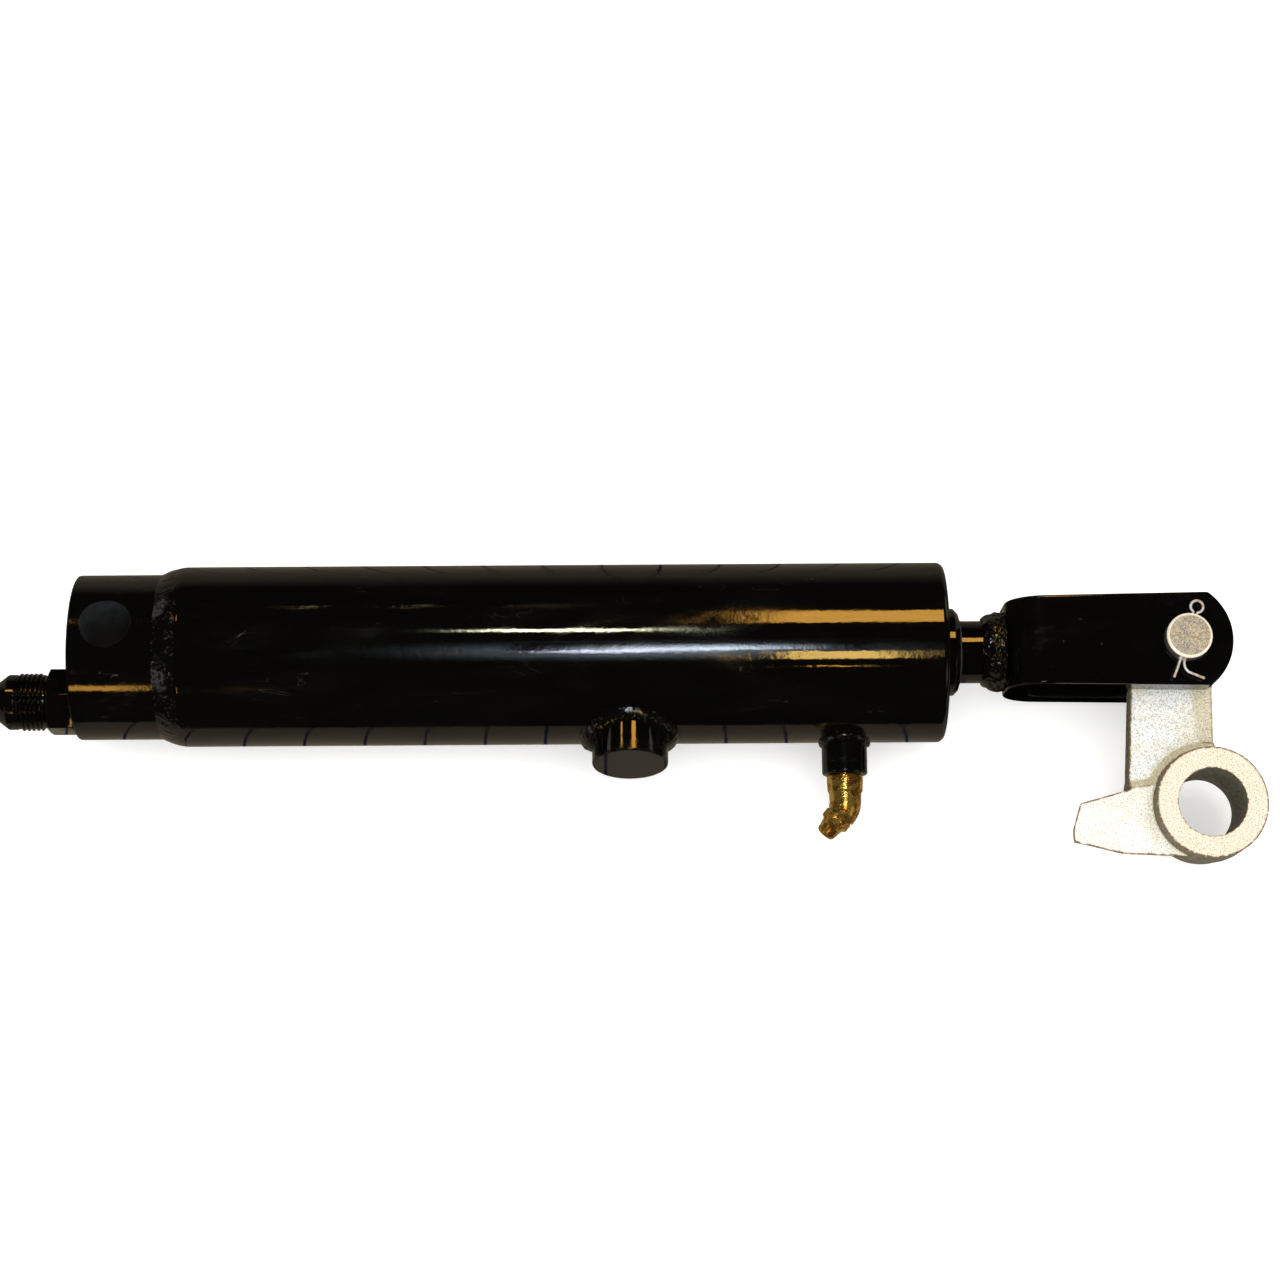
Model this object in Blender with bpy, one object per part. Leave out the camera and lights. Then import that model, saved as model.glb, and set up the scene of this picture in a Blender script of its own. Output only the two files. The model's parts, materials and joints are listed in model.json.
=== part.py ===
"""Hydraulic cylinder with a welded clevis, a clevis pin and a cast lever.

The cylinder lies on the floor along X, with its base cap at -X and its rod at +X. The cap's cross hole
stands upright, a solid stub points to -Y, and a small port boss beside it points a little below -Y.
The rod, clevis and lever are rolled about the cylinder's axis, so that the lever's eye rests on the
floor as the barrel does.

Distances along the axis are stations, counted from the base cap's outer end face. The rod is shown
fully retracted. Threads are plain rings, and welds are plain beads.
"""

import math

import bmesh
import bpy

MM = 0.001

# Gap left between two pieces that touch, screw together or seal against each other.
GAP = 0.3 * MM

# Barrel
BARREL_R = 38.1 * MM
BORE_R = 31.75 * MM
TUBE_START = 38.3 * MM
TUBE_END = 365.2 * MM
RIM_CHAMFER_LENGTH = 1.8 * MM
RIM_CHAMFER_DEPTH = 1.4 * MM
WELD_PREP_LENGTH = 7.0 * MM
WELD_PREP_DEPTH = 2.9 * MM

# Base cap
CAP_R = 34.925 * MM
CAP_SHOULDER = 38.0 * MM
CAP_SPIGOT_R = BORE_R - 0.35 * MM
CAP_INNER_FACE = 50.0 * MM
CAP_EDGE = 0.9 * MM
BASE_WELD_START = 35.4 * MM
CROSS_HOLE_R = 10.65 * MM
CROSS_HOLE_STATION = 15.7 * MM

# Adapter in the base cap
ADAPTER_OFFSET = 20.6 * MM
ADAPTER_HEX_FLATS = 25.4 * MM
ADAPTER_HEX_LENGTH = 10.7 * MM
ADAPTER_HEX_TURN = math.radians(12)
ADAPTER_NECK_R = 11.0 * MM
ADAPTER_NECK_LENGTH = 1.3 * MM
ADAPTER_THREAD_R = 12.1 * MM
ADAPTER_THREAD_DEPTH = 0.9 * MM
ADAPTER_THREAD_PITCH = 2.0 * MM
ADAPTER_THREADS = 6
ADAPTER_LAND_R = 11.65 * MM
ADAPTER_LAND_LENGTH = 4.0 * MM
ADAPTER_TIP_R = 7.0 * MM
ADAPTER_FLARE_ANGLE = math.radians(37)
ADAPTER_BORE_R = 5.4 * MM
ADAPTER_STUB_R = 7.15 * MM
ADAPTER_STUB_LENGTH = 14.0 * MM
CAP_PORT_R = ADAPTER_STUB_R + GAP
CAP_PORT_DEPTH = 18.0 * MM
CAP_SEAL_SEAT_R = 10.3 * MM
CAP_SEAL_SEAT_DEPTH = 2.7 * MM
CAP_OILWAY_R = 4.5 * MM

# Side boss and port boss
BOSS_R = 15.875 * MM
BOSS_STATION = 232.8 * MM
BOSS_REACH = 50.8 * MM
BOSS_EDGE = 0.6 * MM
BOSS_WELD_LEG = 5.0 * MM
PORT_R = 9.525 * MM
PORT_STATION = 323.0 * MM
PORT_REACH = 52.4 * MM
PORT_EDGE = 1.2 * MM
PORT_WELD_LEG = 2.6 * MM
PORT_THREAD_R = 6.6 * MM
PORT_THREAD_END = 43.0 * MM
PORT_OILWAY_R = 3.5 * MM
PORT_ROLL = math.radians(14)

# Brass elbow, measured outward along the port's axis
ELBOW_STUB_R = PORT_THREAD_R - GAP
ELBOW_STUB_START = 43.6 * MM
ELBOW_BEND_CENTRE = 66.8 * MM
ELBOW_BEND_ANGLE = math.radians(45)
ELBOW_BEND_RADIUS = 7.6 * MM
ELBOW_BEND_STEPS = 6
ELBOW_LEG = 13.8 * MM
ELBOW_TURN = math.radians(30)
ELBOW_BORE_R = 1.9 * MM
ELBOW_BODY_R = 7.5 * MM
ELBOW_NECK_R = 6.6 * MM
ELBOW_COLLAR_R = 5.2 * MM
ELBOW_COLLAR_LENGTH = 4.2 * MM
ELBOW_CONE_R = 4.5 * MM
ELBOW_TIP_R = 3.5 * MM
ELBOW_SIDES = 18

# Gland
GLAND_FACE = 371.6 * MM
GLAND_NOSE_R = 18.5 * MM
GLAND_NOSE_EDGE = 2.0 * MM
GLAND_FLANGE_R = 33.0 * MM
GLAND_FLANGE_FACE = 364.9 * MM
GLAND_SEAT = 341.2 * MM
GLAND_BODY_R = 31.4 * MM
GLAND_INNER_FACE = 331.2 * MM
GLAND_SPANNER_R = 2.7 * MM
GLAND_SPANNER_CIRCLE = 26.0 * MM
GLAND_SPANNER_DEPTH = 6.0 * MM
GLAND_SPANNER_HOLES = 4
GLAND_BORE_R = 13.55 * MM

# Grooves in the gland: (first station, last station, floor radius)
WEAR_GROOVE = (338.0 * MM, 348.0 * MM, 15.6 * MM)
SEAL_GROOVE = (353.0 * MM, 360.0 * MM, 17.6 * MM)
WIPER_GROOVE = (365.6 * MM, 370.0 * MM, 16.6 * MM)
WIPER_MOUTH_R = 14.8 * MM
O_RING_GROOVE = (333.5 * MM, 338.5 * MM, 28.3 * MM)

# Rod, piston and what sits on them
ROD_R = 13.2 * MM
ROD_TAIL_R = 11.0 * MM
ROD_TAIL_START = 53.5 * MM
ROD_SHOULDER = 106.6 * MM
ROD_END = 390.9 * MM
NUT_START = 54.0 * MM
NUT_END = 68.0 * MM
NUT_FLATS = 34.9 * MM
PISTON_R = 31.0 * MM
PISTON_START = 68.3 * MM
PISTON_END = 106.3 * MM
RING_R = BORE_R - GAP
STOP_TUBE_R = 21.0 * MM
STOP_TUBE_END = 127.4 * MM

# Grooves in the piston, from its rear end
REAR_WEAR_GROOVE = (73.0 * MM, 79.5 * MM, 28.9 * MM)
PISTON_SEAL_GROOVE = (84.0 * MM, 90.6 * MM, 26.0 * MM)
FRONT_WEAR_GROOVE = (95.2 * MM, 101.7 * MM, 28.9 * MM)
PISTON_BORE_GROOVE = (91.4 * MM, 94.6 * MM, 14.05 * MM)

# Clevis, in the plane that holds the cylinder's axis and the pin's axis, and seen from its side
CLEVIS_BACK = 391.2 * MM
CLEVIS_HALF_WIDTH = 22.225 * MM
CLEVIS_SLOT_HALF = 9.525 * MM
CLEVIS_BEND_R = 15.5 * MM
CLEVIS_SLOT_END = 399.3 * MM
CLEVIS_BACK_HALF_HEIGHT = 18.6 * MM
CLEVIS_NOSE_HALF_HEIGHT = 19.9 * MM
CLEVIS_NOSE_R = 24.8 * MM
CLEVIS_NOSE_SETBACK = 5.4 * MM
CLEVIS_EDGE = 0.9 * MM
CLEVIS_WELD_START = 381.4 * MM
CLEVIS_WELD_END = 396.0 * MM
CLEVIS_WELD_R = 16.6 * MM

# The fork is welded on a little off the rod's axis
CLEVIS_OFFSET = 1.1 * MM

# Clevis pin and cotters
PIN_STATION = 465.5 * MM
PIN_R = 9.525 * MM
PIN_HALF_LENGTH = 28.6 * MM
PIN_EDGE = 1.1 * MM
PIN_CLEARANCE = 0.35 * MM
COTTER_HEIGHT = 25.5 * MM
COTTER_HOLE_R = 2.0 * MM
COTTER_WIRE_R = 0.7 * MM
COTTER_HALF_SPACING = 0.9 * MM
COTTER_EYE_R = 2.6 * MM
COTTER_TURN = math.radians(-17)

# Lever, from the pin's centre: along the cylinder, and out to the eye
LEVER_EYE_ALONG = 8.5 * MM
LEVER_EYE_OUT = 68.3 * MM
LEVER_EYE_R = 23.3 * MM
LEVER_EYE_DRAFT = 1.5 * MM
LEVER_EYE_BORE_R = 14.3 * MM
LEVER_EYE_UPPER = 18.0 * MM
LEVER_EYE_LOWER = 17.0 * MM
LEVER_ARM_HALF = 7.0 * MM
LEVER_TAB_HALF = 9.6 * MM
LEVER_HEAD_R = 18.5 * MM

# Rest pose: the rod and all it carries are rolled this far about the cylinder's axis
ROD_ROLL = math.radians(14)

# Sides of turned shapes: the barrel's size, smaller ones, seals, and welds with what fits them
SIDES = 48
SMALL_SIDES = 30
RING_SIDES = 30
WELD_SIDES = 40

# Rotations that lay a shape turned about X along another axis
ALONG_X = (0.0, 0.0, 0.0)
ALONG_MINUS_Y = (0.0, 0.0, -math.pi / 2)
ALONG_Z = (0.0, -math.pi / 2, 0.0)

BLACK_PAINT = ("black_paint", (0.012, 0.011, 0.010, 1.0), 0.0, 0.12)
BRASS = ("brass", (0.80, 0.53, 0.20, 1.0), 1.0, 0.22)
ZINC_CASTING = ("zinc_casting", (0.74, 0.71, 0.64, 1.0), 0.7, 0.55)
ZINC_STEEL = ("zinc_steel", (0.66, 0.65, 0.62, 1.0), 1.0, 0.35)
STEEL = ("machined_steel", (0.50, 0.50, 0.50, 1.0), 1.0, 0.30)
HARD_CHROME = ("hard_chrome", (0.62, 0.62, 0.63, 1.0), 1.0, 0.10)
RUBBER = ("rubber", (0.02, 0.02, 0.02, 1.0), 0.0, 0.60)
POLYURETHANE = ("polyurethane", (0.10, 0.20, 0.45, 1.0), 0.0, 0.45)
BEARING_PLASTIC = ("bearing_plastic", (0.30, 0.16, 0.08, 1.0), 0.0, 0.55)


def clear_scene():
    for old in list(bpy.data.objects):
        bpy.data.objects.remove(old, do_unlink=True)


def make_material(look):
    name, colour, metallic, roughness = look
    material = bpy.data.materials.get(name)
    if material:
        return material
    material = bpy.data.materials.new(name)
    material.use_nodes = True
    shader = material.node_tree.nodes["Principled BSDF"]
    shader.inputs["Base Color"].default_value = colour
    shader.inputs["Metallic"].default_value = metallic
    shader.inputs["Roughness"].default_value = roughness
    return material


def add_empty(name, location=(0, 0, 0), rotation=(0, 0, 0), parent=None):
    empty = bpy.data.objects.new(name, None)
    empty.location = location
    empty.rotation_euler = rotation
    empty.parent = parent
    bpy.context.scene.collection.objects.link(empty)
    return empty


def add_solid(name, shape, parent, look=None, location=(0, 0, 0), rotation=ALONG_X):
    """Makes an object from a bmesh. A solid without a look is a cutter or a guide."""
    bmesh.ops.remove_doubles(shape, verts=shape.verts, dist=1e-7)
    bmesh.ops.recalc_face_normals(shape, faces=shape.faces)
    mesh = bpy.data.meshes.new(name)
    shape.to_mesh(mesh)
    shape.free()
    mesh.shade_smooth()
    mesh.set_sharp_from_angle(angle=math.radians(30))
    solid = bpy.data.objects.new(name, mesh)
    solid.parent = parent
    solid.location = location
    solid.rotation_euler = rotation
    bpy.context.scene.collection.objects.link(solid)
    if look:
        mesh.materials.append(make_material(look))
    else:
        solid.hide_render = True
        solid.display_type = "WIRE"
    return solid


def turned(name, profile, parent, look=None, sides=SIDES, **placing):
    """Turns a profile of (station, radius) points about X. A profile off the axis is closed to a ring."""
    shape = bmesh.new()
    points = [shape.verts.new((station, 0, radius)) for station, radius in profile]
    edges = [shape.edges.new(pair) for pair in zip(points, points[1:])]
    if min(radius for station, radius in profile) > 0:
        edges.append(shape.edges.new((points[-1], points[0])))
    bmesh.ops.spin(
        shape,
        geom=points + edges,
        cent=(0, 0, 0),
        axis=(1, 0, 0),
        angle=2 * math.pi,
        steps=sides,
        use_merge=True,
    )
    return add_solid(name, shape, parent, look, **placing)


def ring(name, start, end, inner, outer, parent, look):
    profile = [(start, inner), (end, inner), (end, outer), (start, outer)]
    return turned(name, profile, parent, look, RING_SIDES)


def o_ring(name, station, centre_r, section_r, parent, **placing):
    profile = arc(station, centre_r, section_r, 0, 2 * math.pi, 6)[:-1]
    return turned(name, profile, parent, RUBBER, RING_SIDES, **placing)


def prism(name, outline, low, high, parent, look=None, **placing):
    """Extrudes an outline in XY from z = low to z = high."""
    shape = bmesh.new()
    face = shape.faces.new([shape.verts.new((x, y, low)) for x, y in outline])
    extruded = bmesh.ops.extrude_face_region(shape, geom=[face])["geom"]
    top = [item for item in extruded if isinstance(item, bmesh.types.BMVert)]
    bmesh.ops.translate(shape, verts=top, vec=(0, 0, high - low))
    return add_solid(name, shape, parent, look, **placing)


def arc(x, y, radius, start, end, steps):
    """Points on a circle about (x, y), both ends included."""
    angles = [start + (end - start) * step / steps for step in range(steps + 1)]
    return [(x + radius * math.cos(a), y + radius * math.sin(a)) for a in angles]


def combine(solid, tool, operation="DIFFERENCE"):
    boolean = solid.modifiers.new(tool.name, "BOOLEAN")
    boolean.object = tool
    boolean.operation = operation
    boolean.solver = "EXACT"


def drill(solid, name, steps, end, parent, sides=SMALL_SIDES, **placing):
    """Cuts a stepped round hole along the tool's X axis. Each step is (where it starts, its radius)."""
    ends = [start for start, radius in steps[1:]] + [end]
    profile = [(steps[0][0], 0)]
    for (start, radius), step_end in zip(steps, ends):
        profile += [(start, radius), (step_end, radius)]
    profile.append((end, 0))
    combine(solid, turned(name, profile, parent, sides=sides, **placing))


def hexagon(flats, turn=0.0):
    corner = flats / 2 / math.cos(math.pi / 6)
    angles = [turn + math.pi / 3 * side for side in range(6)]
    return [(corner * math.cos(a), corner * math.sin(a)) for a in angles]


def make_frame():
    """The cylinder's axis, with the port, the rod and the clevis pin on it. The origin is under its middle."""
    lowest_x = -(adapter_length() + GAP)
    highest_x = PIN_STATION + LEVER_EYE_ALONG + LEVER_EYE_R
    eye_edge = LEVER_EYE_OUT + LEVER_EYE_R - CLEVIS_OFFSET
    lowest_y = -(eye_edge * math.cos(ROD_ROLL) + LEVER_EYE_UPPER * math.sin(ROD_ROLL))
    centre_x = (lowest_x + highest_x) / 2
    centre_y = (lowest_y + BARREL_R) / 2
    barrel = add_empty("barrel_axis", location=(-centre_x, -centre_y, BARREL_R))
    port = add_empty("port_axis", (PORT_STATION, 0, 0), (PORT_ROLL, 0, 0), barrel)
    rod = add_empty("rod_axis", rotation=(ROD_ROLL, 0, 0), parent=barrel)
    pin = add_empty("pin_axis", (PIN_STATION, CLEVIS_OFFSET, 0), parent=rod)
    return barrel, port, rod, pin


def make_barrel_tube(barrel, port):
    rim_r = BARREL_R - RIM_CHAMFER_DEPTH
    seat_r = GLAND_FLANGE_R + 0.35 * MM
    profile = [
        (TUBE_START, BORE_R),
        (GLAND_SEAT, BORE_R),
        (GLAND_SEAT, seat_r),
        (TUBE_END, seat_r),
        (TUBE_END, rim_r),
        (TUBE_END - RIM_CHAMFER_LENGTH, BARREL_R),
        (TUBE_START + WELD_PREP_LENGTH, BARREL_R),
        (TUBE_START, BARREL_R - WELD_PREP_DEPTH),
    ]
    tube = turned("barrel_tube", profile, barrel, BLACK_PAINT)
    hole = [(20 * MM, PORT_OILWAY_R)]
    drill(tube, "port_hole", hole, 60 * MM, port, rotation=ALONG_MINUS_Y)


def make_base_cap(barrel):
    chamfer = 1.0 * MM
    profile = [
        (0, 0),
        (0, CAP_R - CAP_EDGE),
        (CAP_EDGE, CAP_R),
        (CAP_SHOULDER, CAP_R),
        (CAP_SHOULDER, CAP_SPIGOT_R),
        (CAP_INNER_FACE - chamfer, CAP_SPIGOT_R),
        (CAP_INNER_FACE, CAP_SPIGOT_R - chamfer),
        (CAP_INNER_FACE, 0),
    ]
    cap = turned("base_cap", profile, barrel, BLACK_PAINT)
    upright = {"location": (CROSS_HOLE_STATION, 0, 0), "rotation": ALONG_Z}
    beyond = CAP_R + 5 * MM
    drill(cap, "cross_hole", [(-beyond, CROSS_HOLE_R)], beyond, barrel, 48, **upright)
    port = [
        (-2 * MM, CAP_SEAL_SEAT_R),
        (CAP_SEAL_SEAT_DEPTH, CAP_PORT_R),
        (CAP_PORT_DEPTH, CAP_OILWAY_R),
    ]
    through = CAP_INNER_FACE + 5 * MM
    drill(cap, "pressure_port", port, through, barrel, location=(0, -ADAPTER_OFFSET, 0))


def make_base_weld(barrel):
    """A bead that climbs from the cap's side over the tube's bevelled end."""
    foot = CAP_R + GAP
    prep_foot = BARREL_R - WELD_PREP_DEPTH
    slope = math.atan2(WELD_PREP_DEPTH, WELD_PREP_LENGTH)
    lift = GAP / math.cos(slope)
    toe = TUBE_START + WELD_PREP_LENGTH - 0.9 * MM
    toe_r = prep_foot + (toe - TUBE_START) * math.tan(slope) + lift
    profile = [
        (BASE_WELD_START, foot),
        (TUBE_START - GAP, foot),
        (TUBE_START - GAP, prep_foot + lift),
        (toe, toe_r),
        (toe - 1.4 * MM, BARREL_R - 0.05 * MM),
        (toe - 3.6 * MM, BARREL_R - 0.6 * MM),
        (toe - 5.6 * MM, BARREL_R - 1.7 * MM),
        (BASE_WELD_START + 0.5 * MM, foot + 0.55 * MM),
    ]
    turned("base_weld", profile, barrel, BLACK_PAINT)


def adapter_length():
    """How far the adapter stands out of the base cap."""
    cone = (ADAPTER_LAND_R - ADAPTER_TIP_R) / math.tan(ADAPTER_FLARE_ANGLE)
    threads = ADAPTER_THREADS * ADAPTER_THREAD_PITCH
    straight = ADAPTER_HEX_LENGTH + ADAPTER_NECK_LENGTH + threads + ADAPTER_LAND_LENGTH
    return straight + cone


def make_base_adapter(barrel):
    """A flare adapter: inner stub, hex, neck, thread, land and cone, bored through. It points to -X."""
    profile = [
        (ADAPTER_STUB_LENGTH, ADAPTER_BORE_R),
        (ADAPTER_STUB_LENGTH, ADAPTER_STUB_R - 0.6 * MM),
        (ADAPTER_STUB_LENGTH - 1 * MM, ADAPTER_STUB_R),
        (-GAP - 0.5 * ADAPTER_HEX_LENGTH, ADAPTER_STUB_R),
        (-GAP - 0.5 * ADAPTER_HEX_LENGTH, ADAPTER_NECK_R),
    ]
    station = -GAP - ADAPTER_HEX_LENGTH - ADAPTER_NECK_LENGTH
    profile.append((station, ADAPTER_NECK_R))
    root_r = ADAPTER_THREAD_R - ADAPTER_THREAD_DEPTH
    for thread in range(ADAPTER_THREADS):
        profile.append((station, root_r + 0.02 * MM))
        profile.append((station - 0.40 * ADAPTER_THREAD_PITCH, ADAPTER_THREAD_R))
        profile.append((station - 0.55 * ADAPTER_THREAD_PITCH, ADAPTER_THREAD_R))
        station -= ADAPTER_THREAD_PITCH
    tip = -GAP - adapter_length()
    profile += [
        (station, ADAPTER_LAND_R),
        (station - ADAPTER_LAND_LENGTH, ADAPTER_LAND_R),
        (tip, ADAPTER_TIP_R),
        (tip, ADAPTER_BORE_R),
    ]
    aside = (0, -ADAPTER_OFFSET, 0)
    adapter = turned(
        "base_adapter", profile, barrel, BLACK_PAINT, sides=SMALL_SIDES, location=aside
    )
    hexagonal = prism(
        "adapter_hex",
        hexagon(ADAPTER_HEX_FLATS, ADAPTER_HEX_TURN),
        -GAP - ADAPTER_HEX_LENGTH,
        -GAP,
        barrel,
        location=aside,
        rotation=(0, math.pi / 2, 0),
    )
    corner = ADAPTER_HEX_FLATS / 2 / math.cos(math.pi / 6)
    edge = 1.6 * MM
    rounded = turned(
        "adapter_hex_corners",
        [
            (-GAP + 1 * MM, 0),
            (-GAP + 1 * MM, corner + 0.2 * MM),
            (-GAP - ADAPTER_HEX_LENGTH + edge / 2, corner + 0.2 * MM),
            (-GAP - ADAPTER_HEX_LENGTH - 0.1 * MM, corner - edge),
            (-GAP - ADAPTER_HEX_LENGTH - 0.1 * MM, 0),
        ],
        barrel,
        sides=SMALL_SIDES,
        location=aside,
    )
    combine(hexagonal, rounded, "INTERSECT")
    opening = [(-30 * MM, ADAPTER_BORE_R + 0.6 * MM)]
    drill(hexagonal, "adapter_hex_bore", opening, 5 * MM, barrel, location=aside)
    combine(adapter, hexagonal, "UNION")
    o_ring("adapter_o_ring", 1.2 * MM, 8.8 * MM, 1.0 * MM, barrel, location=aside)


def saddle_weld(name, stub_r, leg, parent, **placing):
    """A fillet weld round a stub that stands on the barrel along the parent's -Y axis."""
    wall = stub_r + GAP
    section = [
        (wall, 0),
        (stub_r + leg, 0),
        (stub_r + leg * 0.80, leg * 0.42),
        (stub_r + leg * 0.45, leg * 0.80),
        (wall, leg),
    ]
    shape = bmesh.new()
    rows = []
    for side in range(WELD_SIDES):
        angle = 2 * math.pi * side / WELD_SIDES
        row = []
        for radius, lift in section:
            across = radius * math.sin(angle)
            surface = math.sqrt((BARREL_R + GAP) ** 2 - across**2)
            row.append(shape.verts.new((radius * math.cos(angle), -surface - lift, across)))
        rows.append(row)
    for side, row in enumerate(rows):
        following = rows[(side + 1) % WELD_SIDES]
        for point in range(len(section)):
            after = (point + 1) % len(section)
            shape.faces.new((row[point], row[after], following[after], following[point]))
    return add_solid(name, shape, parent, BLACK_PAINT, **placing)


def make_stub(name, radius, reach, edge, parent, **placing):
    """A round stub along -Y, its foot cut to sit on the barrel."""
    profile = [
        (30 * MM, 0),
        (30 * MM, radius),
        (reach - edge, radius),
        (reach, radius - edge),
        (reach, 0),
    ]
    stub = turned(
        name,
        profile,
        parent,
        BLACK_PAINT,
        sides=WELD_SIDES,
        rotation=ALONG_MINUS_Y,
        **placing,
    )
    around = 40 * MM
    far = BARREL_R + GAP
    cutter = turned(
        name + "_foot",
        [(-around, 0), (-around, far), (around, far), (around, 0)],
        parent,
        sides=96,
        **placing,
    )
    combine(stub, cutter)
    return stub


def make_side_boss(barrel):
    at_station = {"location": (BOSS_STATION, 0, 0)}
    make_stub("side_boss", BOSS_R, BOSS_REACH, BOSS_EDGE, barrel, **at_station)
    saddle_weld("side_boss_weld", BOSS_R, BOSS_WELD_LEG, barrel, **at_station)


def make_port_boss(port):
    boss = make_stub("port_boss", PORT_R, PORT_REACH, PORT_EDGE, port)
    steps = [(20 * MM, PORT_OILWAY_R), (PORT_THREAD_END, PORT_THREAD_R)]
    drill(boss, "port_thread_hole", steps, 60 * MM, port, rotation=ALONG_MINUS_Y)
    saddle_weld("port_boss_weld", PORT_R, PORT_WELD_LEG, port)


def elbow_path():
    """Stations along the elbow's centre line: (along, out, direction), where direction turns to -X."""
    tangent = ELBOW_BEND_RADIUS * math.tan(ELBOW_BEND_ANGLE / 2)
    bend_start = ELBOW_BEND_CENTRE - tangent
    path = [(0, out, 0) for out in elbow_straight_stations(bend_start)]
    for step in range(ELBOW_BEND_STEPS + 1):
        turn = ELBOW_BEND_ANGLE * step / ELBOW_BEND_STEPS
        along = -ELBOW_BEND_RADIUS * (1 - math.cos(turn))
        out = bend_start + ELBOW_BEND_RADIUS * math.sin(turn)
        path.append((along, out, turn))
    sine = math.sin(ELBOW_BEND_ANGLE)
    cosine = math.cos(ELBOW_BEND_ANGLE)
    for distance in elbow_leg_stations(tangent):
        along = -distance * sine
        out = ELBOW_BEND_CENTRE + distance * cosine
        path.append((along, out, ELBOW_BEND_ANGLE))
    return path


def elbow_straight_stations(bend_start):
    face = PORT_REACH + GAP
    return [ELBOW_STUB_START, face, face, face + 0.8 * MM, face + 8 * MM, bend_start - 1 * MM]


def elbow_leg_stations(tangent):
    start = tangent + 0.2 * MM
    collar_end = start + ELBOW_COLLAR_LENGTH
    return [start, start, collar_end, collar_end, ELBOW_LEG - 2.2 * MM, ELBOW_LEG]


def make_port_elbow(port):
    """A swept brass body: pipe stub, round barrel, bend, a six-sided collar and a tapered tip."""
    path = elbow_path()
    edge = 0.4 * MM
    radii = [ELBOW_STUB_R, ELBOW_STUB_R, ELBOW_BODY_R - edge, ELBOW_BODY_R, ELBOW_BODY_R - edge]
    radii += [ELBOW_NECK_R] * (ELBOW_BEND_STEPS + 2)
    radii += [ELBOW_NECK_R - edge, ELBOW_COLLAR_R, ELBOW_COLLAR_R]
    radii += [ELBOW_CONE_R, ELBOW_CONE_R - edge, ELBOW_TIP_R]
    six_sided = {len(radii) - 5, len(radii) - 4}
    shape = bmesh.new()
    outer_rows = []
    inner_rows = []
    for index, ((along, out, turn), radius) in enumerate(zip(path, radii)):
        outer = []
        inner = []
        for side in range(ELBOW_SIDES):
            angle = 2 * math.pi * side / ELBOW_SIDES
            reach = radius
            if index in six_sided:
                from_flat = (angle + math.pi / 6) % (math.pi / 3) - math.pi / 6
                reach = radius / math.cos(from_flat)
            for row, distance in ((outer, reach), (inner, ELBOW_BORE_R)):
                sideways = distance * math.cos(angle)
                point = (
                    along + sideways * math.cos(turn),
                    -(out + sideways * math.sin(turn)),
                    distance * math.sin(angle),
                )
                row.append(shape.verts.new(point))
        outer_rows.append(outer)
        inner_rows.append(inner)
    loop = outer_rows + inner_rows[::-1]
    for index, row in enumerate(loop):
        following = loop[(index + 1) % len(loop)]
        for side in range(ELBOW_SIDES):
            after = (side + 1) % ELBOW_SIDES
            shape.faces.new((row[side], row[after], following[after], following[side]))
    turned_up = (0, -ELBOW_TURN, 0)
    add_solid("port_elbow", shape, port, BRASS, rotation=turned_up)


def grooved(side_r, *grooves):
    """Profile points of a cylinder's grooves, in the order they are met."""
    points = []
    for start, end, floor_r in grooves:
        points += [(start, side_r), (start, floor_r), (end, floor_r), (end, side_r)]
    return points


def make_gland(barrel):
    edge = 0.8 * MM
    profile = [(GLAND_INNER_FACE, GLAND_BORE_R)]
    profile += grooved(GLAND_BORE_R, WEAR_GROOVE, SEAL_GROOVE, WIPER_GROOVE)[:-1]
    profile += [
        (WIPER_GROOVE[1], WIPER_MOUTH_R),
        (GLAND_FACE, WIPER_MOUTH_R),
        (GLAND_FACE, GLAND_NOSE_R - GLAND_NOSE_EDGE),
        (GLAND_FACE - GLAND_NOSE_EDGE, GLAND_NOSE_R),
        (GLAND_FLANGE_FACE, GLAND_NOSE_R),
        (GLAND_FLANGE_FACE, GLAND_FLANGE_R - edge),
        (GLAND_FLANGE_FACE - edge, GLAND_FLANGE_R),
        (GLAND_SEAT + GAP, GLAND_FLANGE_R),
        (GLAND_SEAT + GAP, GLAND_BODY_R),
    ]
    profile += grooved(GLAND_BODY_R, O_RING_GROOVE)[::-1]
    profile += [
        (GLAND_INNER_FACE + edge, GLAND_BODY_R),
        (GLAND_INNER_FACE, GLAND_BODY_R - edge),
    ]
    gland = turned("gland", profile, barrel, BLACK_PAINT, 36)
    for hole in range(GLAND_SPANNER_HOLES):
        angle = math.pi / 4 + 2 * math.pi * hole / GLAND_SPANNER_HOLES
        place = (
            GLAND_FLANGE_FACE,
            GLAND_SPANNER_CIRCLE * math.cos(angle),
            GLAND_SPANNER_CIRCLE * math.sin(angle),
        )
        name = f"spanner_hole_{hole + 1}"
        steps = [(-GLAND_SPANNER_DEPTH, GLAND_SPANNER_R)]
        drill(gland, name, steps, 2 * MM, barrel, 20, location=place)


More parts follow.
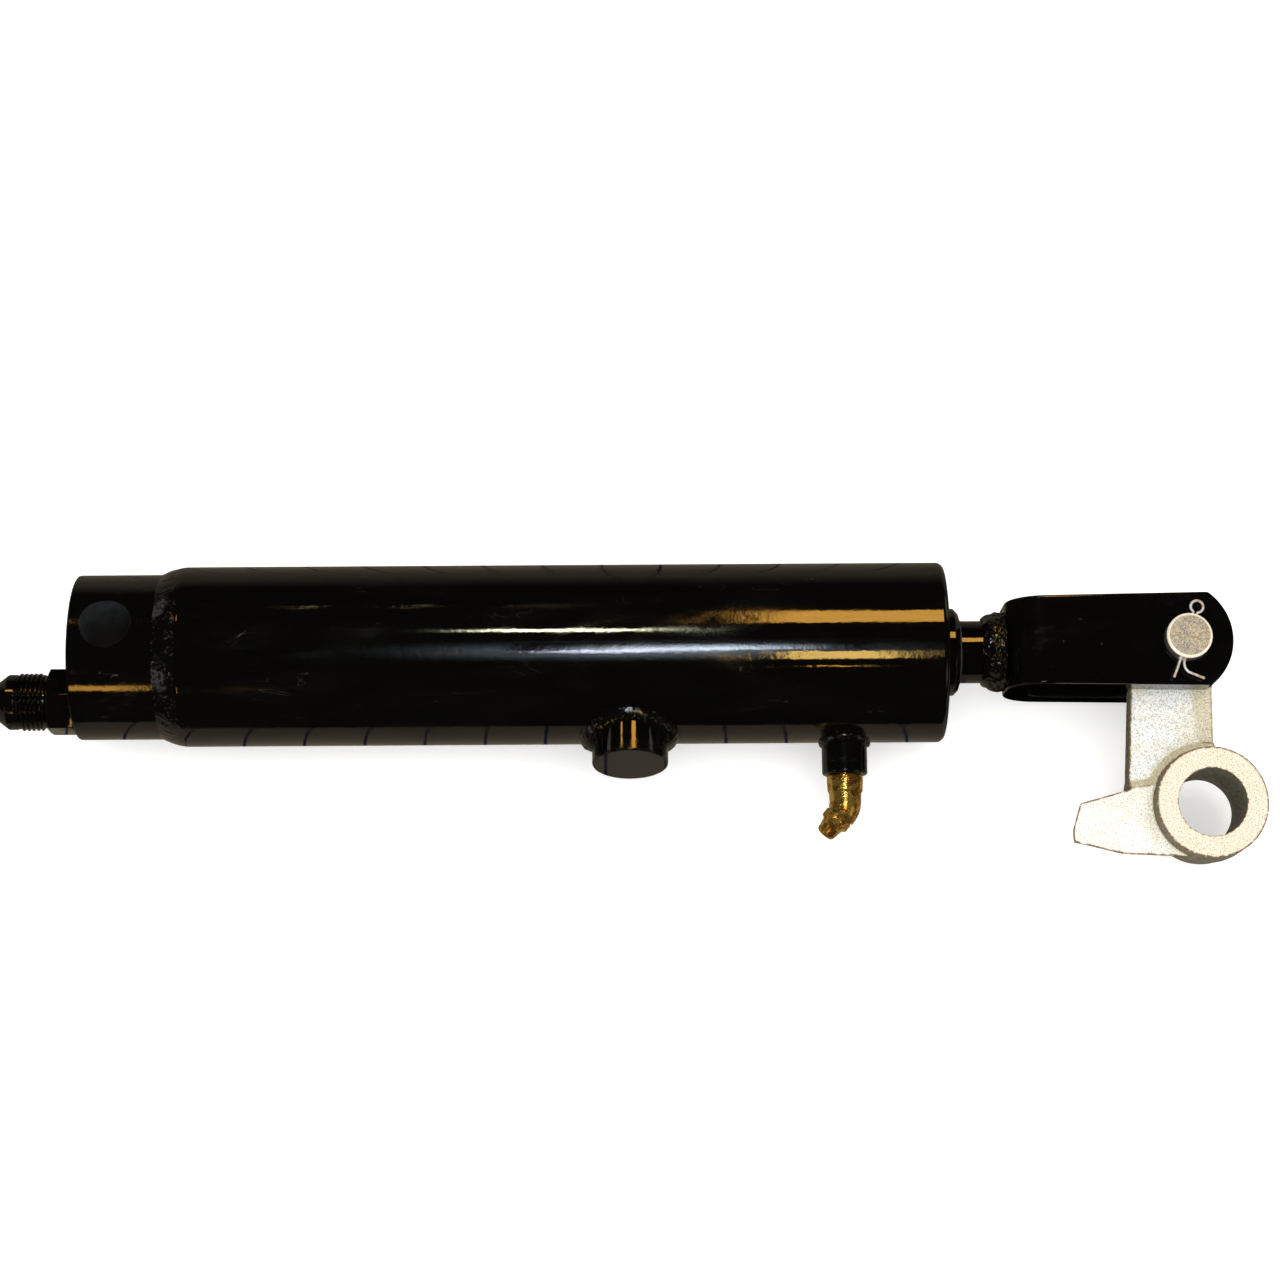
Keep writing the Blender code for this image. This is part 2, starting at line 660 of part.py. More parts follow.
def make_gland_seals(barrel):
    inner = ROD_R + GAP
    ring("rod_wear_ring", 338.3 * MM, 347.7 * MM, inner, 15.3 * MM, barrel, BEARING_PLASTIC)
    seal = [
        (353.3 * MM, inner),
        (359.7 * MM, inner + 0.3 * MM),
        (359.7 * MM, 17.3 * MM),
        (353.3 * MM, 17.3 * MM),
        (353.3 * MM, 16.4 * MM),
        (356.0 * MM, 15.4 * MM),
        (353.3 * MM, 14.4 * MM),
    ]
    turned("rod_seal", seal, barrel, POLYURETHANE, RING_SIDES)
    wiper = [
        (365.9 * MM, inner + 0.5 * MM),
        (369.7 * MM, inner + 0.5 * MM),
        (372.6 * MM, inner),
        (372.6 * MM, 14.1 * MM),
        (369.7 * MM, 14.5 * MM),
        (369.7 * MM, 16.3 * MM),
        (365.9 * MM, 16.3 * MM),
    ]
    turned("rod_wiper", wiper, barrel, RUBBER, RING_SIDES)
    o_ring("gland_o_ring", 335.2 * MM, 29.95 * MM, 1.35 * MM, barrel)
    backup = (336.85 * MM, 338.2 * MM, 28.6 * MM, 31.4 * MM)
    ring("gland_backup_ring", *backup, barrel, BEARING_PLASTIC)


def make_piston_rod(rod):
    chamfer = 0.8 * MM
    profile = [
        (ROD_TAIL_START, 0),
        (ROD_TAIL_START, ROD_TAIL_R - chamfer),
        (ROD_TAIL_START + chamfer, ROD_TAIL_R),
        (ROD_SHOULDER, ROD_TAIL_R),
        (ROD_SHOULDER, ROD_R),
        (ROD_END, ROD_R),
        (ROD_END, 0),
    ]
    turned("piston_rod", profile, rod, HARD_CHROME, SMALL_SIDES)


def make_piston(rod):
    bore = ROD_TAIL_R + 0.35 * MM
    edge = 1 * MM
    outside = grooved(PISTON_R, REAR_WEAR_GROOVE, PISTON_SEAL_GROOVE, FRONT_WEAR_GROOVE)
    profile = [(PISTON_START, bore)]
    profile += grooved(bore, PISTON_BORE_GROOVE)
    profile += [(PISTON_END, bore), (PISTON_END, PISTON_R - edge), (PISTON_END - edge, PISTON_R)]
    profile += outside[::-1]
    profile += [(PISTON_START + edge, PISTON_R), (PISTON_START, PISTON_R - edge)]
    turned("piston", profile, rod, STEEL, 36)
    o_ring("piston_o_ring", 93.0 * MM, 12.6 * MM, 1.15 * MM, rod)
    stop_tube = (ROD_SHOULDER, STOP_TUBE_END, ROD_R + GAP, STOP_TUBE_R)
    ring("stop_tube", *stop_tube, rod, STEEL)
    nut = prism(
        "piston_nut",
        hexagon(NUT_FLATS),
        NUT_START,
        NUT_END,
        rod,
        STEEL,
        rotation=(0, math.pi / 2, 0),
    )
    drill(nut, "nut_thread", [(NUT_START - 5 * MM, bore)], NUT_END + 5 * MM, rod)


def make_piston_rings(barrel):
    """The rings that grip the bore. The piston can turn inside them."""
    floor = 29.2 * MM
    ring("piston_seal", 84.3 * MM, 90.3 * MM, floor, RING_R, barrel, BEARING_PLASTIC)
    o_ring("piston_seal_energizer", 87.3 * MM, 27.6 * MM, 1.3 * MM, barrel)
    for end, start in (("rear", 73.3 * MM), ("front", 95.5 * MM)):
        name = "piston_wear_ring_" + end
        ring(name, start, start + 5.9 * MM, floor, RING_R, barrel, BEARING_PLASTIC)


def clevis_plan(clearance=0.0):
    """The fork seen along the pin's face: stations along X, and the pin's direction along Y."""
    far = PIN_STATION + 30 * MM
    half = CLEVIS_HALF_WIDTH + clearance
    bend_r = CLEVIS_BEND_R + clearance
    bend_x = CLEVIS_BACK + CLEVIS_BEND_R
    bend_y = CLEVIS_HALF_WIDTH - CLEVIS_BEND_R
    outline = [(far, half)]
    outline += arc(bend_x, bend_y, bend_r, math.pi / 2, math.pi, 8)
    outline += arc(bend_x, -bend_y, bend_r, math.pi, math.pi * 1.5, 8)
    outline.append((far, -half))
    if clearance:
        return outline
    slot_x = CLEVIS_SLOT_END + CLEVIS_SLOT_HALF
    outline.append((far, -CLEVIS_SLOT_HALF))
    outline += arc(slot_x, 0, CLEVIS_SLOT_HALF, -math.pi / 2, -math.pi * 1.5, 12)
    outline.append((far, CLEVIS_SLOT_HALF))
    return outline


def clevis_side():
    """The fork seen along the pin: straight sides that spread a little, and a round nose."""
    nose_x = PIN_STATION - CLEVIS_NOSE_SETBACK
    start = math.asin(CLEVIS_NOSE_HALF_HEIGHT / CLEVIS_NOSE_R)
    outline = arc(nose_x, 0, CLEVIS_NOSE_R, -start, start, 16)
    outline.append((CLEVIS_BACK - 5 * MM, CLEVIS_BACK_HALF_HEIGHT))
    outline.append((CLEVIS_BACK - 5 * MM, -CLEVIS_BACK_HALF_HEIGHT))
    return outline


def make_clevis(rod):
    """Side view and plan, extruded and intersected. The pin's axis is the rod frame's Z."""
    deep = 40 * MM
    shifted = (0, CLEVIS_OFFSET, 0)
    clevis = prism("clevis", clevis_side(), -deep, deep, rod, BLACK_PAINT, location=shifted)
    upright = {"location": shifted, "rotation": (math.pi / 2, 0, 0)}
    plan = prism("clevis_plan", clevis_plan(), -deep, deep, rod, **upright)
    combine(clevis, plan, "INTERSECT")
    edge = clevis.modifiers.new("edges", "BEVEL")
    edge.width = CLEVIS_EDGE
    edge.segments = 1
    edge.limit_method = "ANGLE"
    edge.angle_limit = math.radians(50)
    at_pin = {"location": (PIN_STATION, CLEVIS_OFFSET, 0), "rotation": ALONG_Z}
    pin_hole = [(-deep, PIN_R + PIN_CLEARANCE)]
    drill(clevis, "clevis_pin_hole", pin_hole, deep, rod, WELD_SIDES, **at_pin)
    grown = prism("clevis_grown", clevis_plan(GAP), -deep, deep, rod, **upright)
    return grown


def make_clevis_weld(rod, grown_clevis):
    inner = ROD_R + GAP
    profile = [
        (CLEVIS_WELD_START, inner),
        (CLEVIS_WELD_END, inner),
        (CLEVIS_WELD_END, CLEVIS_WELD_R),
        (388.0 * MM, CLEVIS_WELD_R),
        (385.0 * MM, 16.0 * MM),
        (382.6 * MM, 14.9 * MM),
        (CLEVIS_WELD_START, inner + 0.4 * MM),
    ]
    weld = turned("clevis_weld", profile, rod, BLACK_PAINT, WELD_SIDES)
    combine(weld, grown_clevis)


def make_clevis_pin(pin):
    end = PIN_HALF_LENGTH
    profile = [
        (-end, 0),
        (-end, PIN_R - PIN_EDGE),
        (-end + PIN_EDGE, PIN_R),
        (end - PIN_EDGE, PIN_R),
        (end, PIN_R - PIN_EDGE),
        (end, 0),
    ]
    clevis_pin = turned("clevis_pin", profile, pin, ZINC_STEEL, WELD_SIDES, rotation=ALONG_Z)
    for end_name, height in (("upper", COTTER_HEIGHT), ("lower", -COTTER_HEIGHT)):
        across = {"location": (0, 0, height), "rotation": (0, 0, COTTER_TURN - math.pi / 2)}
        length = PIN_R + 3 * MM
        name = "cotter_hole_" + end_name
        drill(clevis_pin, name, [(-length, COTTER_HOLE_R)], length, pin, 16, **across)


def cotter_route():
    """The wire of a cotter whose eye is at +Y: one leg splayed a little, the other bent to +X."""
    half = COTTER_HALF_SPACING
    eye_y = PIN_R + COTTER_EYE_R + COTTER_WIRE_R + 0.8 * MM
    mouth = math.asin(half / COTTER_EYE_R)
    start = -math.pi / 2 - mouth
    eye = arc(0, eye_y, COTTER_EYE_R, start, start - 2 * (math.pi - mouth), 14)
    out = -(PIN_R + 1 * MM)
    straight_leg = [(-2.4 * MM, out - 8.2 * MM), (-1.5 * MM, out - 4 * MM), (-half, out)]
    corner = 4.5 * MM
    bent_leg = arc(half + corner, out, corner, math.pi, math.pi * 1.38, 6)
    bent_leg.append((half + 9.2 * MM, out - 5.4 * MM))
    return straight_leg + eye + bent_leg


def make_cotters(pin):
    for name, height in (("cotter_upper", COTTER_HEIGHT), ("cotter_lower", -COTTER_HEIGHT)):
        wire = bpy.data.curves.new(name, "CURVE")
        wire.dimensions = "3D"
        wire.bevel_depth = COTTER_WIRE_R
        wire.bevel_resolution = 1
        wire.use_fill_caps = True
        spline = wire.splines.new("POLY")
        route = cotter_route()
        spline.points.add(len(route) - 1)
        for point, (x, y) in zip(spline.points, route):
            point.co = (x, y, 0, 1)
        wire.materials.append(make_material(ZINC_STEEL))
        cotter = bpy.data.objects.new(name, wire)
        cotter.parent = pin
        cotter.location = (0, 0, height)
        cotter.rotation_euler = (0, 0, COTTER_TURN)
        bpy.context.scene.collection.objects.link(cotter)


def lever_arm():
    """From the round head at the pin out to the eye. Out is -Y."""
    head = arc(0, 0, LEVER_HEAD_R, math.radians(-40), math.radians(200), 24)
    inner_side = [(-22.1 * MM, -18 * MM), (-24.6 * MM, -61 * MM)]
    foot = [(-14 * MM, -66 * MM), (8 * MM, -66 * MM)]
    outer_side = [(12.2 * MM, -46 * MM), (13.0 * MM, -18 * MM)]
    return head + inner_side + foot + outer_side


def lever_tab():
    """The flat tab from the eye towards the rod."""
    return [
        (8 * MM, -60 * MM),
        (-14 * MM, -59.6 * MM),
        (-24.6 * MM, -61.6 * MM),
        (-45.4 * MM, -67.3 * MM),
        (-48.9 * MM, -78.8 * MM),
        (-48.7 * MM, -83.7 * MM),
        (-28.4 * MM, -88.9 * MM),
        (8 * MM, -90.6 * MM),
    ]


def make_lever(pin):
    half = LEVER_ARM_HALF
    lever = prism("lever", lever_arm(), -half, half, pin, ZINC_CASTING)
    tab = prism("lever_tab", lever_tab(), -LEVER_TAB_HALF, LEVER_TAB_HALF, pin)
    edge = 0.7 * MM
    small = LEVER_EYE_R - LEVER_EYE_DRAFT
    profile = [
        (-LEVER_EYE_LOWER, 0),
        (-LEVER_EYE_LOWER, small - edge),
        (-LEVER_EYE_LOWER + edge, small),
        (0, LEVER_EYE_R),
        (LEVER_EYE_UPPER - edge, LEVER_EYE_R),
        (LEVER_EYE_UPPER, LEVER_EYE_R - edge),
        (LEVER_EYE_UPPER, 0),
    ]
    at_eye = {"location": (LEVER_EYE_ALONG, -LEVER_EYE_OUT, 0), "rotation": ALONG_Z}
    eye = turned("lever_eye", profile, pin, **at_eye)
    combine(lever, tab, "UNION")
    combine(lever, eye, "UNION")
    deep = 40 * MM
    drill(lever, "lever_eye_bore", [(-deep, LEVER_EYE_BORE_R)], deep, pin, WELD_SIDES, **at_eye)
    pin_bore = [(-deep, PIN_R + PIN_CLEARANCE)]
    drill(lever, "lever_pin_bore", pin_bore, deep, pin, WELD_SIDES, rotation=ALONG_Z)


def main():
    clear_scene()
    barrel, port, rod, pin = make_frame()
    make_barrel_tube(barrel, port)
    make_base_cap(barrel)
    make_base_weld(barrel)
    make_base_adapter(barrel)
    make_side_boss(barrel)
    make_port_boss(port)
    make_port_elbow(port)
    make_gland(barrel)
    make_gland_seals(barrel)
    make_piston_rings(barrel)
    make_piston_rod(rod)
    make_piston(rod)
    grown_clevis = make_clevis(rod)
    make_clevis_weld(rod, grown_clevis)
    make_clevis_pin(pin)
    make_cotters(pin)
    make_lever(pin)


main()
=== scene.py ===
"""Looks of the hydraulic cylinder: fine meshes, procedural finishes, studio floor, lights and camera.

Lengths are in metres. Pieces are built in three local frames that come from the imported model: the
barrel's (origin on its axis at the base cap's end face), the rod's (the same, rolled with the rod) and
the pin's (origin on the clevis pin's axis, Z along the pin, -Y towards the lever's eye).
"""

import json
import math

import bmesh
import bpy
from mathutils import Matrix, Quaternion, Vector, noise


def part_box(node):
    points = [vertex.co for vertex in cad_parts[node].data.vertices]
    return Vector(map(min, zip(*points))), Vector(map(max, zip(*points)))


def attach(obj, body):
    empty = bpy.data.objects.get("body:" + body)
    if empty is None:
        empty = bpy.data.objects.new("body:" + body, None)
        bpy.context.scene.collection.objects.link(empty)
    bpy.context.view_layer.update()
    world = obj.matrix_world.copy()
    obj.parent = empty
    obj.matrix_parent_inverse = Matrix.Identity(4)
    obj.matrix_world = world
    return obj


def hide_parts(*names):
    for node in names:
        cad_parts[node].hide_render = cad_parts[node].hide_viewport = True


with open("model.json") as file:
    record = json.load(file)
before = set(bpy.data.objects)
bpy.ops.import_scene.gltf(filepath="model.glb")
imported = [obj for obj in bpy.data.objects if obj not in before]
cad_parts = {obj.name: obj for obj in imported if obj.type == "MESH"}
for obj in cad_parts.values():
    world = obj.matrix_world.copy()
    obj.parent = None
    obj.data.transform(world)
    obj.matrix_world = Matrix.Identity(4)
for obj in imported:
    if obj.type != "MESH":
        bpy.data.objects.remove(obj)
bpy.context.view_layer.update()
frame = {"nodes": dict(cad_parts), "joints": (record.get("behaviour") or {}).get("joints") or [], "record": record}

MM = 0.001
TURN = 2 * math.pi
GAP = 0.3 * MM
SEAM = 0.02 * MM

# Camera and light
VIEW_ELEVATION = math.radians(64.5)
VIEW_ROLL = math.radians(-0.36)
VIEW_DISTANCE = 1.252
VIEW_LENS = 83.0
VIEW_TARGET_X = 5.8 * MM
VIEW_TARGET_UP = 6.06 * MM
VIEW_BACK = Vector((0, -math.cos(VIEW_ELEVATION), math.sin(VIEW_ELEVATION)))
VIEW_UP = Vector((0, math.sin(VIEW_ELEVATION), math.cos(VIEW_ELEVATION)))
SENSOR_WIDTH = 36
WORLD_COLOUR = (1, 1, 0.99, 1)
WORLD_STRENGTH = 0.95
FLOOR_HALF_SIZE = 12.0
FLOOR_GLOW = 0.34
FLOOR_DROP = 0.02 * MM

# Soft lights on matt surfaces: their distance, and for each its name, size, watts, colour and direction
LIGHT_DISTANCE = 1.9
LIGHTS = [
    ("soft_key", (2.4, 2.4), 26, (1, 0.99, 0.97), (0.15, -0.25, 1)),
    ("soft_front", (2.0, 1.2), 8, (1, 0.98, 0.95), (0.0, -1, 0.7)),
]

# Softboxes along the cylinder, seen only as reflections in its paint: their distance, and for each its
# name, reach along X, edges' angles from the camera's, radiance, colour and how softly it fades
STRIP_DISTANCE = 1.25
GOLD = (1.0, 0.50, 0.09)
PALE_GOLD = (1.0, 0.64, 0.17)
LAMP_GOLD = (1.0, 0.72, 0.36)
STRIPS = [
    ("overhead_tube", (-0.175, 0.056), (28.2, 33.6), 85, (0.98, 1.0, 0.66), 0.85),
    ("blue_core", (-0.11, 0.07), (0.5, 9.5), 180, (0.76, 0.78, 1.0), 1.0),
    ("blue_glow", (-0.10, 0.20), (-4, 15), 42, (0.74, 0.86, 1.0), 1.0),
    ("blue_halo", (-0.27, 0.30), (-10, 20), 5, (0.72, 0.87, 1.0), 1.0),
    ("warm_back", (0.100, 0.36), (38.8, 55.2), 16, GOLD, 0.06),
    ("warm_camera", (0.118, 0.222), (-7.5, 7.5), 21, PALE_GOLD, 0.22),
    ("warm_low", (0.146, 0.19), (-16.6, -14.8), 16, GOLD, 0.3),
    ("warm_front", (-0.50, -0.402), (-46.2, -38.4), 11, GOLD, 0.15),
    ("warm_left", (-0.60, -0.48), (47, 55), 14, GOLD, 0.2),
]
FAR_LAMPS = (-0.268, -0.180, -0.079)
FAR_LAMP_HALF = 2 * MM
FAR_LAMP_TURNS = (61, 68.5)
FAR_LAMP_RADIANCE = 8
FAR_LAMP_SOFT = 0.6
FAR_LAMP_LEAN = math.radians(-7)

# Four broad softboxes out to the sides, which shape the paint in views from the ends and the back
SIDE_BOX_SIZE = (1.4, 1.4)
SIDE_BOX_X = 2.2
SIDE_BOX_Y = 1.4
SIDE_BOX_HEIGHT = 0.75
SIDE_BOX_COLOUR = (1.0, 0.97, 0.92)
SIDE_BOX_RADIANCE = 1.0
SIDE_BOX_SOFT = 0.5

# Ruled paper round the cylinder, seen only as a reflection in its paint
FRONT_RULES = (26.0 * MM, 16.7 * MM)
BACK_RULES = (26.6 * MM, 15.3 * MM)
RULE_WIDTH = 1.3 * MM
PAPER_COLOUR = (1.0, 0.85, 0.60)
RULE_COLOUR = (0.08, 0.11, 0.27)
FRONT_PAPER_GLOW = 0.27
BACK_PAPER_GLOW = 0.20
BACK_WALL_GLOW = 0.21
CARD_REACH = 1.2
CARD_BACK = 1.0
WALL_HEIGHT = 0.35
CARD_LEVEL = -1 * MM


# ---------------- frames and measures from the model

tube_low, tube_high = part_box("barrel_tube")
cap_low, cap_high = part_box("base_cap")
pin_joint = next(j for j in frame["joints"] if j["name"] == "lever_swing")

BASE_X = cap_low.x
AXIS_Y = (tube_low.y + tube_high.y) / 2
AXIS_Z = (tube_low.z + tube_high.z) / 2
BARREL_R = (tube_high.z - tube_low.z) / 2
TUBE_START = tube_low.x - BASE_X
TUBE_END = tube_high.x - BASE_X
CAP_R = (cap_high.z - cap_low.z) / 2
GLAND_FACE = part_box("gland")[1].x - BASE_X
ROD_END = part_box("piston_rod")[1].x - BASE_X
PIN_AXIS = Vector(pin_joint["axis"])
PIN_PLACE = Vector(pin_joint["pos_m"])
ROD_ROLL = math.atan2(-PIN_AXIS.y, PIN_AXIS.z)
PORT_ROLL = math.radians(14)

X_AXIS = Vector((1, 0, 0))
Y_AXIS = Vector((0, 1, 0))
Z_AXIS = Vector((0, 0, 1))
BARREL = Matrix.Translation((BASE_X, AXIS_Y, AXIS_Z))
ROLLED = Matrix.Rotation(ROD_ROLL, 4, "X")
ROD = BARREL @ ROLLED
PIN = Matrix.Translation(PIN_PLACE) @ ROLLED
PIN_STATION = PIN_PLACE.x - BASE_X
TO_Z = Matrix.Rotation(-math.pi / 2, 4, "Y")


def shift(x=0.0, y=0.0, z=0.0):
    return Matrix.Translation((x, y, z))


def mm(*points):
    """Points given in millimetres, in metres."""
    return [tuple(value * MM for value in point) for point in points]


def station_of(node):
    """The middle of a CAD node along the barrel, from the base cap's end face."""
    low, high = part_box(node)
    return (low.x + high.x) / 2 - BASE_X


CLEVIS = PIN @ shift(x=-PIN_STATION)
PORT = BARREL @ shift(x=station_of("port_boss")) @ Matrix.Rotation(PORT_ROLL, 4, "X")
BOSS = BARREL @ shift(x=station_of("side_boss"))


# ---------------- finishes

class Finish:
    """A Principled material, with short names for the nodes that feed it. Sizes are in metres."""

    def __init__(self, name, colour, metallic, roughness):
        self.material = bpy.data.materials.new(name)
        self.material.use_nodes = True
        self.tree = self.material.node_tree
        self.shader = self.tree.nodes["Principled BSDF"]
        self.shader.inputs["Base Color"].default_value = (*colour, 1)
        self.shader.inputs["Metallic"].default_value = metallic
        self.shader.inputs["Roughness"].default_value = roughness
        self.place = self.node("ShaderNodeTexCoord").outputs["Object"]

    def node(self, kind, values=None, **settings):
        made = self.tree.nodes.new(kind)
        for key, value in settings.items():
            setattr(made, key, value)
        for key, value in (values or {}).items():
            if isinstance(value, bpy.types.NodeSocket):
                self.tree.links.new(value, made.inputs[key])
            else:
                made.inputs[key].default_value = value
        return made

    def stretched(self, stretch):
        return self.node("ShaderNodeMapping", {"Vector": self.place, "Scale": stretch}).outputs[0]

    def noise(self, size, detail=3.0, rough=0.5, warp=0.0, stretch=None):
        """Noise whose features are about this size."""
        place = self.stretched(stretch) if stretch else self.place
        values = dict(Vector=place, Scale=1 / size, Detail=detail, Roughness=rough, Distortion=warp)
        return self.node("ShaderNodeTexNoise", values).outputs["Fac"]

    def cells(self, size):
        """Distance from scattered points about this far apart, as a share of it."""
        values = {"Vector": self.place, "Scale": 1 / size}
        return self.node("ShaderNodeTexVoronoi", values, feature="F1").outputs["Distance"]

    def patches(self, low, high, *noise):
        """A mask: 0 where this noise is at low, and 1 where it is at high."""
        return self.spread(self.noise(*noise), low, high)

    def spread(self, source, low, high, to_low=0.0, to_high=1.0):
        values = {"Value": source, "From Min": low, "From Max": high}
        values.update({"To Min": to_low, "To Max": to_high})
        return self.node("ShaderNodeMapRange", values).outputs["Result"]

    def maths(self, operation, a, b):
        return self.node("ShaderNodeMath", {0: a, 1: b}, operation=operation).outputs[0]

    def times(self, a, b):
        return self.maths("MULTIPLY", a, b)

    def size_of(self, value):
        return self.maths("ABSOLUTE", value, 0.0)

    def along(self, axis, vector=None):
        """One coordinate of a vector, or of the place in the piece's own frame."""
        return self.node("ShaderNodeSeparateXYZ", {0: vector or self.place}).outputs[axis]

    def facing(self, axis):
        """How squarely a surface faces along an axis, either way: 0 to 1."""
        return self.size_of(self.along(axis, self.node("ShaderNodeTexCoord").outputs["Normal"]))

    def mix(self, factor, a, b):
        """Colour a where factor is 0, and b where it is 1."""
        mixer = self.node("ShaderNodeMix", data_type="RGBA")
        for socket, value in ((0, factor), (6, a), (7, b)):
            if isinstance(value, bpy.types.NodeSocket):
                self.tree.links.new(value, mixer.inputs[socket])
            elif isinstance(value, tuple):
                mixer.inputs[socket].default_value = (*value, 1)
            else:
                mixer.inputs[socket].default_value = value
        return mixer.outputs[2]

    def bump(self, height, depth, over=None):
        """Adds relief this deep, in metres, over an earlier bump."""
        values = {"Height": height, "Distance": depth}
        if over is not None:
            values["Normal"] = over
        return self.node("ShaderNodeBump", values).outputs["Normal"]

    def feed(self, **outputs):
        for socket, output in outputs.items():
            self.tree.links.new(output, self.shader.inputs[socket.replace("_", " ")])
        return self.material


def make_black_paint():
    """High gloss black enamel: orange peel, dust, faint wiping marks and a few fine scratches."""
    black = (0.0014, 0.0013, 0.0009)
    paint = Finish("black_paint", black, 0.0, 0.05)
    smears = paint.noise(18 * MM, 4, 0.6, 0.8, stretch=(0.3, 1, 1))
    streaks = paint.noise(1.1 * MM, 3, 0.6, 0.3, stretch=(0.06, 1, 1))
    haze = paint.times(paint.spread(smears, 0.45, 0.75), streaks)
    roughness = paint.spread(haze, 0.0, 0.6, 0.045, 0.17)
    colour = paint.mix(haze, black, (0.0028, 0.0027, 0.0023))
    dust = paint.spread(paint.cells(5 * MM), 0.0, 0.03, 1.0, 0.0)
    colour = paint.mix(dust, colour, (0.05, 0.05, 0.055))
    hair = paint.noise(7 * MM, 1, 0.4, 1.4, stretch=(0.35, 1, 1))
    off_line = paint.size_of(paint.maths("SUBTRACT", hair, 0.60))
    scratch = paint.spread(off_line, 0.0, 0.0022, 1.0, 0.0)
    scratch = paint.times(scratch, paint.spread(smears, 0.56, 0.62))
    colour = paint.mix(scratch, colour, (0.045, 0.042, 0.035))
    peel = paint.bump(paint.noise(3.2 * MM, 2, 0.45), 0.024 * MM)
    dappled = paint.spread(smears, 0.42, 0.62, 0.10, 1.0)
    swirl = paint.times(paint.noise(0.9 * MM, 2, 0.6), dappled)
    peel = paint.bump(swirl, 0.024 * MM, over=peel)
    nibs = paint.spread(paint.cells(9 * MM), 0.0, 0.035, 1.0, 0.0)
    return paint.feed(
        Base_Color=colour, Roughness=roughness, Normal=paint.bump(nibs, 0.06 * MM, over=peel)
    )


def make_weld_paint():
    """The same enamel over weld metal: spattered, so that it glints in many small places."""
    paint = Finish("black_paint_on_weld", (0.0018, 0.0017, 0.0012), 0.0, 0.06)
    patches = paint.patches(0.42, 0.58, 6 * MM, 2)
    lumps = paint.bump(paint.noise(1.3 * MM, 3, 0.6), 0.07 * MM)
    spatter = paint.spread(paint.cells(1.3 * MM), 0.0, 0.42, 1.0, 0.0)
    spatter = paint.times(spatter, patches)
    roughness = paint.spread(paint.noise(3 * MM), 0.3, 0.7, 0.04, 0.14)
    return paint.feed(Roughness=roughness, Normal=paint.bump(spatter, 0.36 * MM, over=lumps))


def make_shaded_dusty_paint():
    """Matt paint inside the cross hole, with a film of grey dust and painted shade that darkens it lower down the
    hole.
    """
    paint = Finish("shaded_dusty_paint", (0.020, 0.022, 0.026), 0.0, 0.6)
    film = paint.patches(0.35, 0.65, 4 * MM, 4, 0.6, 0.5)
    grit = paint.noise(0.5 * MM, 3, 0.6)
    colour = paint.mix(film, (0.014, 0.016, 0.018), (0.028, 0.032, 0.036))
    # Painted shade: the wall fades to near black lower down the hole, away from its mouth.
    painted_shade_fade = paint.spread(paint.along("X"), -4 * MM, 14 * MM)
    colour = paint.mix(painted_shade_fade, (0.002, 0.002, 0.002), colour)
    return paint.feed(Base_Color=colour, Normal=paint.bump(grit, 0.02 * MM))


def make_brass():
    """Bright forged brass with brown tarnish and die marks."""
    brass = Finish("brass", (0.90, 0.60, 0.16), 0.94, 0.2)
    tarnish = brass.patches(0.44, 0.56, 4.0 * MM, 4, 0.65, 0.8)
    fine = brass.noise(0.5 * MM, 4, 0.65)
    colour = brass.mix(tarnish, (1.0, 0.66, 0.14), (0.50, 0.22, 0.03))
    colour = brass.mix(brass.spread(fine, 0.5, 0.75, 0.0, 0.5), colour, (0.26, 0.13, 0.03))
    roughness = brass.spread(fine, 0.3, 0.7, 0.14, 0.34)
    ripple = brass.bump(brass.noise(2.6 * MM, 2), 0.06 * MM)
    return brass.feed(
        Base_Color=colour, Roughness=roughness, Normal=brass.bump(fine, 0.015 * MM, over=ripple)
    )


